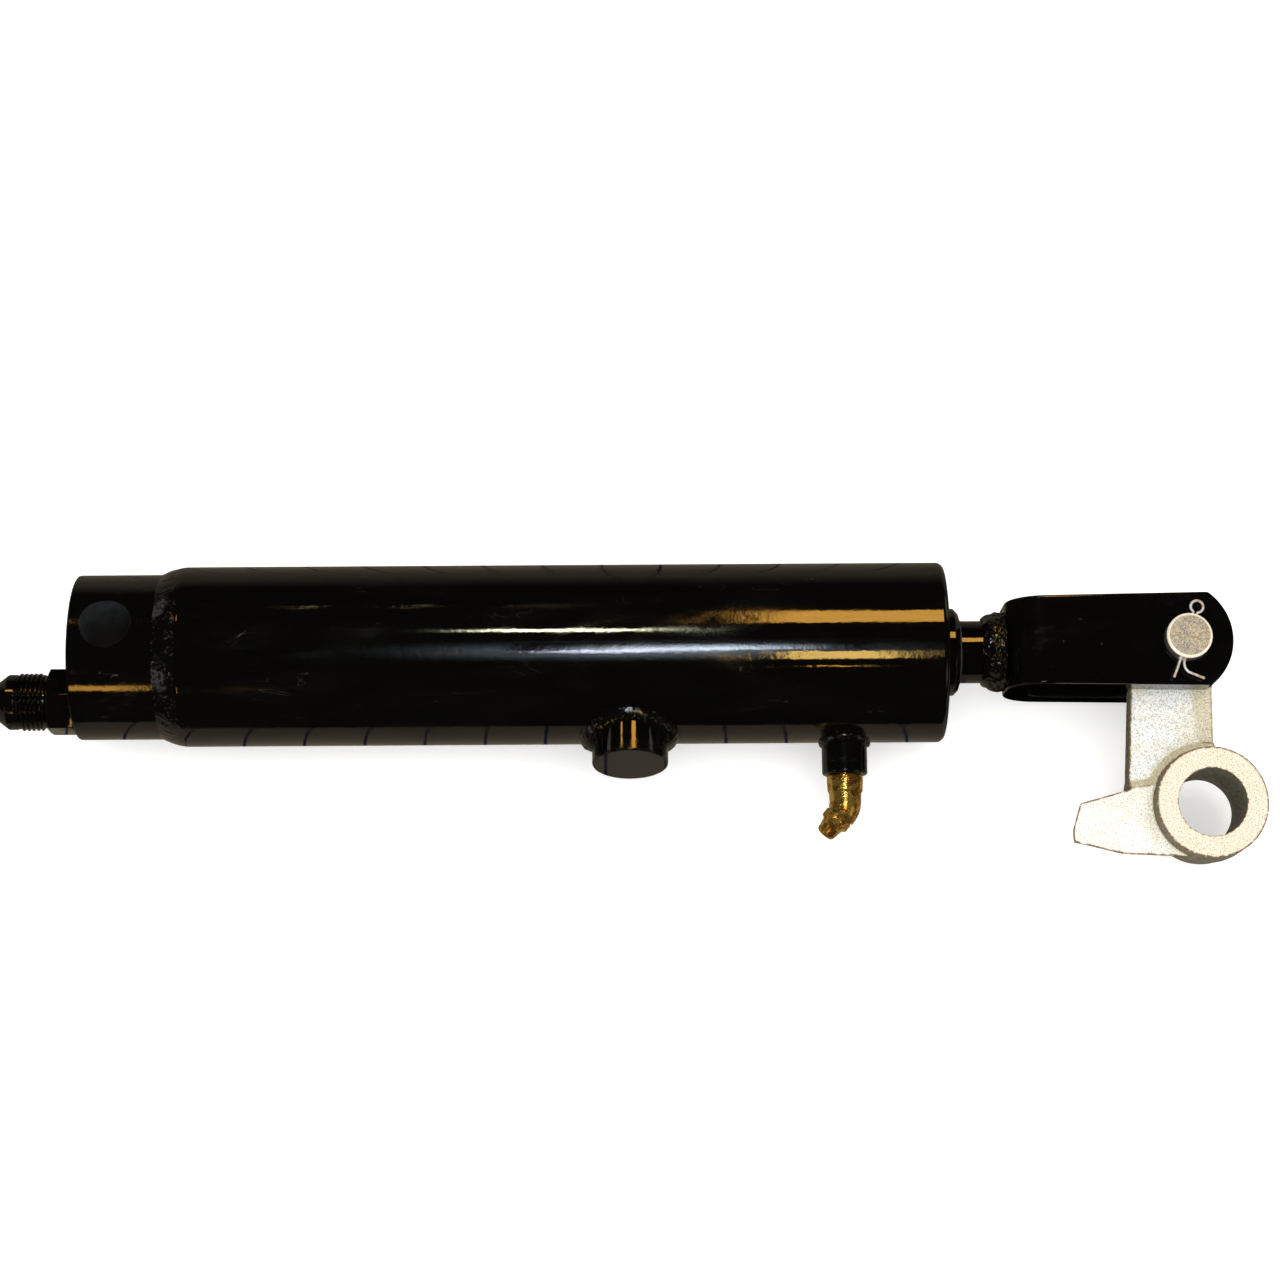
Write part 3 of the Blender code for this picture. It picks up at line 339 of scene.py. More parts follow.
def make_casting():
    """Zinc plated casting: pale sandy faces, with painted shade: olive on slopes, dark on side walls, and brown on
    edges and steep faces.
    """
    zinc = Finish("zinc_casting", (0.80, 0.78, 0.72), 0.0, 0.5)
    zinc.shader.inputs["Specular IOR Level"].default_value = 0.12
    grain = zinc.noise(0.6 * MM, 2, 0.8)
    coarse = zinc.noise(1.5 * MM, 3, 0.6)
    height = zinc.along("Z")
    cool = zinc.spread(height, 8.2 * MM, 9.0 * MM)
    colour = zinc.mix(cool, (0.80, 0.82, 0.81), (0.90, 0.89, 0.83))
    colour = zinc.mix(zinc.spread(height, 11 * MM, 15 * MM), colour, (0.78, 0.68, 0.55))
    warm = zinc.spread(zinc.noise(11 * MM, 3, 0.55, 0.6), 0.40, 0.68, 0.0, 0.6)
    colour = zinc.mix(warm, colour, (0.72, 0.64, 0.46))
    colour = zinc.mix(zinc.spread(grain, 0.50, 0.60, 0.0, 0.75), colour, (0.24, 0.22, 0.17))
    colour = zinc.mix(zinc.spread(coarse, 0.54, 0.70, 0.0, 0.4), colour, (0.36, 0.34, 0.26))
    level = zinc.facing("Z")
    # Painted shade: faces that slope away from the flat tops, such as creases, steps and fillets, are tinted a
    # darker olive.
    olive = zinc.mix(zinc.spread(grain, 0.45, 0.62), (0.60, 0.53, 0.35), (0.30, 0.23, 0.11))
    colour = zinc.mix(zinc.spread(level, 0.90, 0.985, 0.9, 0.0), colour, olive)
    # Painted shade: brown on sharp edges and over steep faces, in patches.
    edge = zinc.node("ShaderNodeNewGeometry").outputs["Pointiness"]
    painted_edge_shade = zinc.times(zinc.spread(edge, 0.505, 0.526), zinc.spread(level, 0.2, 0.5))
    painted_shade_edges_steep = zinc.maths("MAXIMUM", painted_edge_shade, zinc.spread(level, 0.72, 0.62))
    patchy_painted_shade = zinc.times(painted_shade_edges_steep, zinc.spread(coarse, 0.34, 0.50))
    colour = zinc.mix(patchy_painted_shade, colour, (0.16, 0.075, 0.030))
    # Painted shade: the side walls, facing sideways, are darkened to a mottled dark olive.
    dark = zinc.mix(zinc.spread(coarse, 0.38, 0.66), (0.070, 0.067, 0.053), (0.20, 0.178, 0.118))
    colour = zinc.mix(zinc.spread(level, 0.30, 0.60, 1.0, 0.0), colour, dark)
    roughness = zinc.spread(grain, 0.3, 0.7, 0.38, 0.66)
    relief = zinc.bump(coarse, 0.12 * MM)
    return zinc.feed(
        Base_Color=colour, Roughness=roughness, Normal=zinc.bump(grain, 0.12 * MM, over=relief)
    )


def make_zinc_steel():
    """Zinc plated pin: mottled ends, with a painted highlight round the chamfer and painted shade on the sides."""
    zinc = Finish("zinc_steel", (0.72, 0.71, 0.68), 0.3, 0.34)
    grain = zinc.noise(0.7 * MM, 3, 0.7, 1.2)
    cloud = zinc.patches(0.38, 0.62, 4 * MM, 3, 0.6, 1.5)
    colour = zinc.mix(cloud, (0.36, 0.35, 0.31), (0.62, 0.50, 0.32))
    colour = zinc.mix(zinc.spread(grain, 0.47, 0.56, 0.0, 0.85), colour, (0.13, 0.10, 0.06))
    endwise = zinc.facing("X")
    # Painted highlight: a bright band on the faces round the chamfer.
    rim = zinc.spread(endwise, 0.97, 0.90, 0.0, 1.0)
    colour = zinc.mix(rim, colour, (0.95, 0.86, 0.70))
    # Painted shade: the pin's sides, facing away from its axis, are darkened.
    colour = zinc.mix(zinc.spread(endwise, 0.40, 0.15, 0.0, 1.0), colour, (0.11, 0.10, 0.085))
    roughness = zinc.spread(grain, 0.3, 0.7, 0.26, 0.48)
    return zinc.feed(Base_Color=colour, Roughness=roughness, Normal=zinc.bump(grain, 0.05 * MM))


def make_zinc_wire():
    """Bright drawn wire with coppery rubbed patches."""
    zinc = Finish("zinc_wire", (0.70, 0.69, 0.66), 0.35, 0.3)
    patch = zinc.patches(0.48, 0.66, 2.5 * MM, 3, 0.6)
    fine = zinc.noise(0.6 * MM, 2)
    colour = zinc.mix(patch, (0.58, 0.57, 0.55), (0.45, 0.27, 0.14))
    return zinc.feed(Base_Color=colour, Normal=zinc.bump(fine, 0.02 * MM))


def make_turned_metal(name, colour, roughness, groove):
    """Bare metal with fine turning marks round the X axis."""
    metal = Finish(name, colour, 1.0, roughness)
    marks = metal.noise(groove, 2, 0.6, stretch=(1, 0.02, 0.02))
    stain = metal.patches(0.4, 0.7, 8 * MM, 3)
    dark = tuple(0.7 * channel for channel in colour)
    spread = metal.spread(marks, 0.3, 0.7, 0.7 * roughness, 1.4 * roughness)
    return metal.feed(
        Base_Color=metal.mix(stain, colour, dark), Roughness=spread, Normal=metal.bump(marks, 0.004 * MM)
    )


def make_moulded(name, colour, roughness, grain):
    """Rubber or plastic: slight mottling, and a fine moulded grain."""
    stuff = Finish(name, colour, 0.0, roughness)
    fine = stuff.noise(grain, 3, 0.6)
    pale = tuple(min(1.0, 1.5 * channel + 0.004) for channel in colour)
    tone = stuff.mix(stuff.patches(0.4, 0.7, 5 * MM, 3), colour, pale)
    spread = stuff.spread(fine, 0.3, 0.7, roughness - 0.08, roughness + 0.1)
    return stuff.feed(Base_Color=tone, Roughness=spread, Normal=stuff.bump(fine, 0.02 * MM))


def make_floor_finish():
    """Pale matt studio paper."""
    paper = Finish("studio_paper", (0.93, 0.93, 0.925), 0.0, 0.9)
    fibre = paper.noise(1.2 * MM, 4, 0.6)
    colour = paper.mix(paper.spread(fibre, 0.3, 0.7), (0.925, 0.925, 0.92), (0.94, 0.94, 0.935))
    paper.tree.links.new(colour, paper.shader.inputs["Emission Color"])
    paper.shader.inputs["Emission Strength"].default_value = FLOOR_GLOW
    return paper.feed(Base_Color=colour, Normal=paper.bump(fibre, 0.01 * MM))


def make_soft_glow(name, size, colour, strength, soft):
    """Light of a softbox: full in the middle, and fading over this share of its half width."""
    glow = Finish(name, (0, 0, 0), 0.0, 1.0)
    fades = []
    for axis, length in zip("XY", size):
        away = glow.size_of(glow.along(axis))
        fades.append(glow.spread(away, length / 2 * (1 - soft), length / 2, 1.0, 0.0))
        fades[-1].node.interpolation_type = "SMOOTHSTEP"
    level = glow.maths("POWER", glow.times(*fades), 1.6)
    cloud = glow.noise(1.0, 4, 0.75, stretch=(260, 16, 1))
    uneven = glow.spread(cloud, 0.38, 0.62, 0.40 * strength, 1.2 * strength)
    return light_up(glow, colour, glow.times(level, uneven))


def make_ruled_glow(name, rules, strength, fade_height=None):
    """Paper with thin blue lines across the barrel. rules is their (spacing, place of one)."""
    spacing, start = rules
    glow = Finish(name, (0, 0, 0), 0.0, 1.0)
    shifted = glow.maths("SUBTRACT", glow.along("X"), start - RULE_WIDTH / 2)
    past_line = glow.maths("FLOORED_MODULO", shifted, spacing)
    line = glow.maths("LESS_THAN", past_line, RULE_WIDTH)
    tint = glow.mix(line, PAPER_COLOUR, RULE_COLOUR)
    level = glow.times(glow.spread(glow.noise(60 * MM, 3), 0.3, 0.7, 0.8, 1.1), strength)
    if fade_height:
        level = glow.times(level, glow.spread(glow.along("Z"), 0.0, fade_height, 1.0, 0.0))
    return light_up(glow, tint, level)


def light_up(glow, colour, level):
    if isinstance(colour, tuple):
        glow.shader.inputs["Emission Color"].default_value = (*colour, 1)
    else:
        glow.tree.links.new(colour, glow.shader.inputs["Emission Color"])
    glow.tree.links.new(level, glow.shader.inputs["Emission Strength"])
    glow.shader.inputs["Specular IOR Level"].default_value = 0
    return glow.material


# ---------------- mesh helpers

def link(thing):
    """Puts an object in the scene."""
    bpy.context.scene.collection.objects.link(thing)
    return thing


def fractions(steps):
    """Evenly spaced numbers from 0 to 1, with both ends."""
    return [step / steps for step in range(steps + 1)]


def turn_angles(count):
    """Evenly spaced angles of one full turn."""
    return [TURN * side / count for side in range(count)]


def round_point(x, radius, angle):
    """A point at a radius and an angle about X."""
    return (x, radius * math.cos(angle), radius * math.sin(angle))


def arc(x, y, radius, start, end, steps):
    angles = [start + (end - start) * step / steps for step in range(steps + 1)]
    return [(x + radius * math.cos(a), y + radius * math.sin(a)) for a in angles]


def soften(points, radius, closed=True, steps=4):
    """Rounds every corner of an outline, or all but the ends of an open one."""
    count = len(points)
    rounded = []
    for index, point in enumerate(points):
        here = Vector(point)
        if not closed and index in (0, count - 1):
            rounded.append(tuple(here))
            continue
        before = Vector(points[index - 1]) - here
        after = Vector(points[(index + 1) % count]) - here
        if min(before.length, after.length) < 1e-9 or before.angle(after, 0) > math.radians(176):
            rounded.append(tuple(here))
            continue
        reach = min(radius, 0.45 * before.length, 0.45 * after.length)
        first = here + before.normalized() * reach
        last = here + after.normalized() * reach
        for t in fractions(steps):
            bend = first * (1 - t) ** 2 + here * 2 * t * (1 - t) + last * t**2
            rounded.append(tuple(bend))
    return rounded


def add_piece(name, shape, place, body, finish, nodes=(), crease=40):
    """Makes a finished piece from a bmesh in a local frame, riding on a body in place of CAD nodes."""
    bmesh.ops.remove_doubles(shape, verts=shape.verts, dist=1e-6)
    bmesh.ops.recalc_face_normals(shape, faces=shape.faces)
    mesh = bpy.data.meshes.new(name)
    shape.to_mesh(mesh)
    shape.free()
    piece = link(bpy.data.objects.new(name, mesh))
    piece.matrix_world = place
    mesh.materials.append(finish)
    mesh.shade_smooth()
    mesh.set_sharp_from_angle(angle=math.radians(crease))
    if finish:
        flat_first(piece)
    if body:
        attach(piece, body)
    if nodes:
        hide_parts(*nodes)
    return piece


def loft(rings, capped=False):
    """Skins a list of closed rings. Without caps the last ring joins the first."""
    shape = bmesh.new()
    rows = [[shape.verts.new(point) for point in ring] for ring in rings]
    pairs = list(zip(rows, rows[1:]))
    if not capped:
        pairs.append((rows[-1], rows[0]))
    for row, following in pairs:
        for index in range(len(row)):
            after = (index + 1) % len(row)
            shape.faces.new((row[index], row[after], following[after], following[index]))
    if capped:
        shape.faces.new(rows[0])
        shape.faces.new(rows[-1])
    return shape


def lathe(profile, sides):
    """Turns (station, radius) points about X. A radius may be a function of the angle."""
    rings = []
    for station, radius in profile:
        ring = []
        for angle in turn_angles(sides):
            reach = radius(angle) if callable(radius) else radius
            ring.append(round_point(station, reach, angle))
        rings.append(ring)
    return rings


def turned(profile, sides):
    """A turned ring, or a solid if the profile starts and ends on the axis."""
    if profile[0][1] == 0:
        return loft(lathe(profile[1:-1], sides), capped=True)
    return loft(lathe(profile, sides))


def peg(low, high, radius, sides):
    """A plain cylinder along X."""
    return turned([(low, 0), (low, radius), (high, radius), (high, 0)], sides)


def prism(outline, low, high):
    return loft([[(x, y, z) for x, y in outline] for z in (low, high)], capped=True)


def tool(shape, place):
    """A helper object for a Boolean."""
    return add_piece("tool", shape, place, None, None)


def combine(piece, operation, shape, place):
    """Cuts or intersects at once, and removes the helper."""
    helper = tool(shape, place)
    custom = piece.data.attributes.get("custom_normal")
    if custom:
        piece.data.attributes.remove(custom)
    boolean = piece.modifiers.new("boolean", "BOOLEAN")
    boolean.object = helper
    boolean.operation = operation
    boolean.solver = "EXACT"
    settle(piece)
    bpy.data.objects.remove(helper)
    flat_first(piece)


def cut(piece, shape, place):
    combine(piece, "DIFFERENCE", shape, place)


def settle(piece):
    """Applies a piece's modifiers."""
    bpy.context.view_layer.update()
    graph = bpy.context.evaluated_depsgraph_get()
    mesh = bpy.data.meshes.new_from_object(piece.evaluated_get(graph))
    piece.modifiers.clear()
    piece.data = mesh


def flat_first(piece):
    """Weights normals by face area, so that large flat or straight faces stay true."""
    normals = piece.modifiers.new("normals", "WEIGHTED_NORMAL")
    normals.keep_sharp = True
    settle(piece)


def bevel(piece, width, segments, angle):
    edges = piece.modifiers.new("edges", "BEVEL")
    edges.width = width
    edges.segments = segments
    edges.limit_method = "ANGLE"
    edges.angle_limit = math.radians(angle)
    edges.harden_normals = True
    edges.use_clamp_overlap = True
    settle(piece)


def true_rounds(piece, rounds):
    """Gives faces on a cylinder its exact normals, and large flat faces their own.

    A round is (point, direction, radius) of a cylinder.
    """
    slack = 0.06 * MM
    large = 4e-7
    mesh = piece.data
    normals = [(0.0, 0.0, 0.0)] * len(mesh.loops)
    for face in mesh.polygons:
        corners = [mesh.vertices[index].co for index in face.vertices]
        for point, direction, radius in rounds:
            spokes = []
            for corner in corners:
                offset = corner - point
                spokes.append(offset - offset.dot(direction) * direction)
            if any(abs(spoke.length - radius) > slack for spoke in spokes):
                continue
            if abs(face.normal.dot(direction)) > 0.1:
                continue
            side = 1 if face.normal.dot(sum(spokes, Vector())) > 0 else -1
            for loop, spoke in zip(face.loop_indices, spokes):
                normals[loop] = tuple(side * spoke.normalized())
            break
        else:
            if face.area > large:
                for loop in face.loop_indices:
                    normals[loop] = tuple(face.normal)
    mesh.normals_split_custom_set(normals)


def grain(x, y, z, size, seed=0.0):
    """Smooth noise between about -1 and 1, with features of this size."""
    return noise.noise(Vector((x / size + seed, y / size - seed, z / size + 2 * seed)))


# ---------------- barrel pieces

BORE_R = 31.75 * MM
GLAND_SEAT = 341.2 * MM
GLAND_FLANGE_R = 33.0 * MM
GLAND_FLANGE_FACE = GLAND_FACE - 6.7 * MM
GLAND_NOSE_R = 18.5 * MM
ROD_R = 13.2 * MM
WELD_PREP = 7.0 * MM
WELD_PREP_DEPTH = 2.9 * MM


def make_barrel_tube(paint):
    seat_r = GLAND_FLANGE_R + 0.35 * MM
    outline = [
        (TUBE_START, BORE_R), (GLAND_SEAT, BORE_R), (GLAND_SEAT, seat_r), (TUBE_END, seat_r),
        (TUBE_END, BARREL_R - 1.4 * MM), (TUBE_END - 1.8 * MM, BARREL_R),
        (TUBE_START + WELD_PREP, BARREL_R), (TUBE_START, BARREL_R - WELD_PREP_DEPTH),
    ]
    shape = turned(soften(outline, 0.9 * MM), 200)
    add_piece("barrel_skin", shape, BARREL, "barrel", paint, ["barrel_tube"])


CROSS_HOLE_R = 10.65 * MM
CROSS_HOLE_STATION = 15.7 * MM
ADAPTER_OFFSET = 20.6 * MM
ADAPTER = BARREL @ shift(y=-ADAPTER_OFFSET)


def make_base_cap(paint, shaded_dusty):
    spigot_r = BORE_R - 0.35 * MM
    shoulder = 38 * MM
    inner = 50 * MM
    outline = [
        (0, 0), (0, CAP_R), (shoulder, CAP_R), (shoulder, spigot_r), (inner, spigot_r - 0.6 * MM),
        (inner, 0),
    ]
    shape = turned(soften(outline, 1.0 * MM, closed=False), 180)
    cap = add_piece("base_cap_skin", shape, BARREL, "barrel", paint, ["base_cap"])
    reach = CAP_R + 3 * MM
    upright = BARREL @ shift(x=CROSS_HOLE_STATION) @ TO_Z
    wall_r = CROSS_HOLE_R + 0.2 * MM
    cut(cap, peg(-reach, reach, wall_r, 72), upright)
    port = [
        (-2 * MM, 0), (-2 * MM, 10.3 * MM), (2.7 * MM, 10.3 * MM), (2.7 * MM, 7.45 * MM),
        (18 * MM, 7.45 * MM), (18 * MM, 4.5 * MM), (inner + 3 * MM, 4.5 * MM), (inner + 3 * MM, 0),
    ]
    cut(cap, turned(port, 48), ADAPTER)
    hole_place = X_AXIS * CROSS_HOLE_STATION
    true_rounds(cap, [(Vector(), X_AXIS, CAP_R), (hole_place, Z_AXIS, wall_r)])
    lining = [
        (-reach, CROSS_HOLE_R), (reach, CROSS_HOLE_R), (reach, wall_r - SEAM),
        (-reach, wall_r - SEAM),
    ]
    liner = add_piece("cross_hole_wall", turned(lining, 72), upright, "barrel", shaded_dusty, ())
    inside_r = CAP_R - 0.5 * MM
    combine(liner, "INTERSECT", peg(-5 * MM, shoulder, inside_r, 180), BARREL)


def rippled(bulge, across, pitch_angle, angle, seed):
    """Height of a bead at a place across it (0 to 1): a crown with uneven, curved freezing ripples."""
    phase = angle / pitch_angle + 1.6 * (across - 0.5) ** 2 + 0.6 * math.sin(angle * 5 + seed)
    scallop = abs(math.sin(math.pi * phase))
    return bulge * math.sin(math.pi * across) * (0.94 + 0.06 * scallop)


def lumpiness(angle, across, size, seed):
    """Uneven lumps on a bead that goes round something. size is a lump's angle."""
    return grain(math.cos(angle), math.sin(angle), across * 3 * size, size, seed)


def make_base_weld(paint):
    """A bead from the cap's side up over the tube's bevelled end."""
    foot = Vector((35.4 * MM, CAP_R + 0.05 * MM))
    toe = Vector((TUBE_START + WELD_PREP - 0.3 * MM, BARREL_R - 0.10 * MM))
    corner = Vector((TUBE_START - 0.25 * MM, CAP_R + 0.05 * MM))
    run = toe - foot
    outward = Vector((-run.y, run.x)).normalized()
    rings = []
    for angle in turn_angles(560):
        wander = 0.5 * MM * lumpiness(angle, 0, 0.22, 3.1)
        ring = []
        for across in fractions(16):
            crown = math.sin(math.pi * across)
            lift = rippled(0.55 * MM, across, TURN / 66, angle, 1.3)
            lift += crown * 0.22 * MM * lumpiness(angle, across, 0.07, 4.4)
            lift += crown * 0.10 * MM * lumpiness(angle, across, 0.03, 9.7)
            lift -= crown * 0.25 * MM * (1 - across)
            point = foot + run * across + outward * lift + Vector((wander * (1 - across), 0))
            radius = max(CAP_R + 0.03 * MM, min(point.y, BARREL_R - 0.04 * MM))
            ring.append((point.x, radius))
        ring.append((corner.x, corner.y))
        rings.append([round_point(x, radius, angle) for x, radius in ring])
    shape = loft(rings)
    add_piece("base_weld_bead", shape, BARREL, "barrel", paint, ["base_weld"], 70)


def saddle_height(across):
    """How far out the barrel's surface is, this far to the side of its middle."""
    return math.sqrt((BARREL_R + SEAM) ** 2 - across**2)


def make_stub(name, radius, reach, edge, place, paint, node, bore=None):
    """A round stub along -Y whose foot follows the barrel. bore is (radius, depth of its floor)."""
    angles = turn_angles(120)
    corner = [(reach - 4 * MM, radius), (reach, radius), (reach, radius - 6 * MM)]
    rim = soften(corner, edge, closed=False)[1:-1]
    foot = [saddle_height(radius * math.sin(angle)) for angle in angles]

    def ring_at(r, height):
        return [(r * math.cos(angle), -height, r * math.sin(angle)) for angle in angles]

    rings = [[(radius * math.cos(a), -out, radius * math.sin(a)) for a, out in zip(angles, foot)]]
    rings += [ring_at(r, height) for height, r in rim]
    if bore:
        bore_r, floor = bore
        rings.append(ring_at(bore_r + 0.8 * MM, reach))
        rings.append(ring_at(bore_r, reach - 0.8 * MM))
        rings.append(ring_at(bore_r, floor))
    add_piece(name, loft(rings, capped=True), place, "barrel", paint, [node])


def make_saddle_weld(name, stub_r, legs, place, paint, node, pitch, lumps, seed):
    """A fillet bead round a stub on the barrel. legs is its size along the barrel and up the stub."""
    along_leg, up_leg = legs
    rings = []
    for angle in turn_angles(420):
        cos = math.cos(angle)
        sin = math.sin(angle)
        swell = 1 + 0.10 * lumpiness(angle, 0, 0.4, seed)
        swell += lumps * max(0.0, cos) ** 6 * 0.6 + lumps * max(0.0, -cos) ** 8
        swell -= 0.35 * max(0.0, sin) ** 4
        ring = []
        for across in fractions(12):
            lift = rippled(0.10 * (along_leg + up_leg) * swell, across, TURN / pitch, angle, seed)
            rough = 0.15 + 0.35 * cos**2
            lift += math.sin(math.pi * across) * rough * MM * lumpiness(angle, across, 0.12, seed)
            out = stub_r + SEAM + along_leg * swell * (1 - across) + lift * 0.7
            up = up_leg * swell * across + lift * 0.7
            ring.append((out, up))
        ring.append((stub_r + SEAM, 0))
        rings.append([(out * cos, -saddle_height(out * sin) - up, out * sin) for out, up in ring])
    add_piece(name, loft(rings), place, "barrel", paint, [node], 70)


# Brass elbow: (distance out of the boss in millimetres, radius, how six-sided it is)
ELBOW_OUTLINE = [
    (-8.4, 6.25, 0), (-0.02, 6.25, 0), (0.0, 7.0, 0), (0.45, 7.5, 0), (1.6, 7.58, 0), (6.6, 7.35, 0),
    (7.4, 6.75, 0), (10.5, 6.65, 0), (13.5, 6.6, 0), (16.9, 6.4, 0), (17.4, 5.6, 0), (17.7, 5.4, 0.3),
    (18.2, 5.55, 1), (21.6, 5.45, 1), (22.1, 5.0, 0.3), (22.6, 4.75, 0), (26.4, 4.1, 0), (27.2, 3.9, 0),
    (27.7, 3.5, 0),
]


def make_port_elbow(brass):
    face = 52.7 * MM
    centre = 66.8 * MM
    bend_r = 7.6 * MM
    bend = math.radians(45)
    tangent = bend_r * math.tan(bend / 2)
    straight = centre - tangent - face
    curve = bend_r * bend
    bore = 2.0 * MM

    def centre_line(distance):
        """(along, out, direction) at a distance from the boss's face."""
        if distance <= straight:
            return 0.0, face + distance, 0.0
        turn = min(bend, (distance - straight) / bend_r)
        along = -bend_r * (1 - math.cos(turn))
        out = centre - tangent + bend_r * math.sin(turn)
        beyond = max(0.0, distance - straight - curve)
        return along - beyond * math.sin(bend), out + beyond * math.cos(bend), turn

    def ring_at(distance, radius, six=0.0):
        along, out, turn = centre_line(distance)
        points = []
        for angle in turn_angles(72):
            from_flat = (angle + math.pi / 6) % (math.pi / 3) - math.pi / 6
            reach = radius * (1 + six * (0.97 / math.cos(from_flat) - 1))
            sideways = reach * math.cos(angle)
            x = along + sideways * math.cos(turn)
            y = -(out + sideways * math.sin(turn))
            points.append((x, y, reach * math.sin(angle)))
        return points

    stations = []
    for (d0, r0, s0), (d1, r1, s1) in zip(ELBOW_OUTLINE, ELBOW_OUTLINE[1:]):
        for t in fractions(max(1, round((d1 - d0) / 0.7)))[:-1]:
            stations.append((d0 + t * (d1 - d0), r0 + t * (r1 - r0), s0 + t * (s1 - s0)))
    stations.append(ELBOW_OUTLINE[-1])
    tip = stations[-1][0]
    rings = [ring_at(d * MM, r * MM, s) for d, r, s in stations]
    rings.append(ring_at((tip - 0.05) * MM, bore + 0.5 * MM))
    rings.append(ring_at((tip - 0.7) * MM, bore))
    inner = [ring_at(d * MM, bore) for d, r, s in stations[::-1] if d < tip - 1]
    shape = loft(rings + inner)
    place = PORT @ Matrix.Rotation(-math.radians(30), 4, "Y")
    add_piece("port_elbow_forging", shape, place, "barrel", brass, ["port_elbow"], 28)


def make_base_adapter(paint):
    """Flare adapter with a helical thread, and a hex with chamfered corners. It points to -X."""
    hex_length = 10.7 * MM
    neck_end = GAP + hex_length + 1.3 * MM
    pitch = 2.0 * MM
    thread_end = neck_end + 6 * pitch
    land_end = thread_end + 4.0 * MM
    tip = land_end + (11.65 - 7.0) * MM / math.tan(math.radians(37))
    crest = 12.15 * MM
    depth = 1.15 * MM

    def thread_radius(distance):
        def radius(angle):
            phase = (distance / pitch - angle / TURN) % 1.0
            tooth = min(1.0, max(0.0, 1.35 * (1 - abs(2 * phase - 1)) - 0.12))
            ends = min(1.0, (distance - neck_end) / pitch, (thread_end - distance) / (0.5 * pitch))
            return crest - depth + depth * tooth * max(0.0, ends)
        return radius

    stub = [
        (-13.9 * MM, 5.4 * MM), (-13.9 * MM, 6.7 * MM), (-13.2 * MM, 7.1 * MM),
        (GAP + 5 * MM, 7.1 * MM), (GAP + 5 * MM, 10.6 * MM), (neck_end - 0.3 * MM, 10.8 * MM),
    ]
    steps = 132
    threads = []
    for step in range(1, steps):
        distance = neck_end + (thread_end - neck_end) * step / steps
        threads.append((distance, thread_radius(distance)))
    nose = soften(
        [
            (thread_end, 11.0 * MM), (thread_end + 0.5 * MM, 11.65 * MM), (land_end, 11.65 * MM),
            (tip, 7.0 * MM), (tip, 5.4 * MM),
        ],
        0.25 * MM,
        closed=False,
        steps=2,
    )
    profile = [(-distance, radius) for distance, radius in stub + threads + nose]
    shape = loft(lathe(profile, 96))
    add_piece("base_adapter_skin", shape, ADAPTER, "barrel", paint, ["base_adapter"], 38)
    corner = 12.7 * MM / math.cos(math.pi / 6)
    flat_turn = math.radians(12)
    outline = arc(0, 0, corner, flat_turn, flat_turn + TURN, 6)[:-1]
    lay = ADAPTER @ Matrix.Rotation(math.pi / 2, 4, "Y")
    shape = prism(soften(outline, 0.5 * MM, steps=3), -GAP - hex_length, -GAP)
    hexagonal = add_piece("base_adapter_hex", shape, lay, "barrel", paint, (), 30)
    chamfer = [
        (-GAP + 1 * MM, 0), (-GAP + 1 * MM, corner + 1 * MM),
        (-GAP - hex_length + 1.0 * MM, corner + 0.2 * MM),
        (-GAP - hex_length - 0.2 * MM, corner - 1.9 * MM),
        (-GAP - hex_length - 0.2 * MM, 0),
    ]
    combine(hexagonal, "INTERSECT", turned(chamfer, 96), ADAPTER)
    cut(hexagonal, peg(-30 * MM, 5 * MM, 10.4 * MM, 64), ADAPTER)
    bevel(hexagonal, 0.25 * MM, 2, 25)


def make_gland(paint):
    bore = ROD_R + 0.35 * MM
    nose_step = GLAND_FACE - 1.6 * MM
    outline = [
        (331.2 * MM, bore), (365.6 * MM, bore), (365.6 * MM, 16.6 * MM), (nose_step, 16.6 * MM),
        (nose_step, 14.9 * MM), (GLAND_FACE, 15.1 * MM), (GLAND_FACE, GLAND_NOSE_R - 2.0 * MM),
        (GLAND_FACE - 2.0 * MM, GLAND_NOSE_R), (GLAND_FLANGE_FACE, GLAND_NOSE_R),
        (GLAND_FLANGE_FACE, GLAND_FLANGE_R - 0.6 * MM),
        (GLAND_FLANGE_FACE - 0.6 * MM, GLAND_FLANGE_R), (GLAND_SEAT + GAP, GLAND_FLANGE_R),
        (GLAND_SEAT + GAP, 31.4 * MM), (331.2 * MM, 31.4 * MM),
    ]
    shape = turned(soften(outline, 0.35 * MM, steps=3), 144)
    gland = add_piece("gland_skin", shape, BARREL, "barrel", paint, ["gland"])
    drill = mm((-6, 0), (-6, 2.7), (-0.4, 2.7), (0.3, 3.4), (0.3, 0))
    for angle in turn_angles(4):
        spot = round_point(GLAND_FLANGE_FACE, 26 * MM, math.pi / 4 + angle)
        cut(gland, turned(drill, 32), BARREL @ shift(*spot))


def make_wiper(rubber):
    inner = ROD_R + 0.08 * MM
    outline = [
        (365.9 * MM, inner + 0.5 * MM), (369.7 * MM, inner + 0.5 * MM),
        (GLAND_FACE + 0.9 * MM, inner), (GLAND_FACE + 0.9 * MM, inner + 0.7 * MM),
        (370.2 * MM, 14.6 * MM), (369.6 * MM, 14.8 * MM), (369.6 * MM, 16.3 * MM),
        (365.9 * MM, 16.3 * MM),
    ]
    shape = turned(soften(outline, 0.25 * MM, steps=3), 96)
    add_piece("rod_wiper_lip", shape, BARREL, "barrel", rubber, ["rod_wiper"])


# ---------------- rod pieces

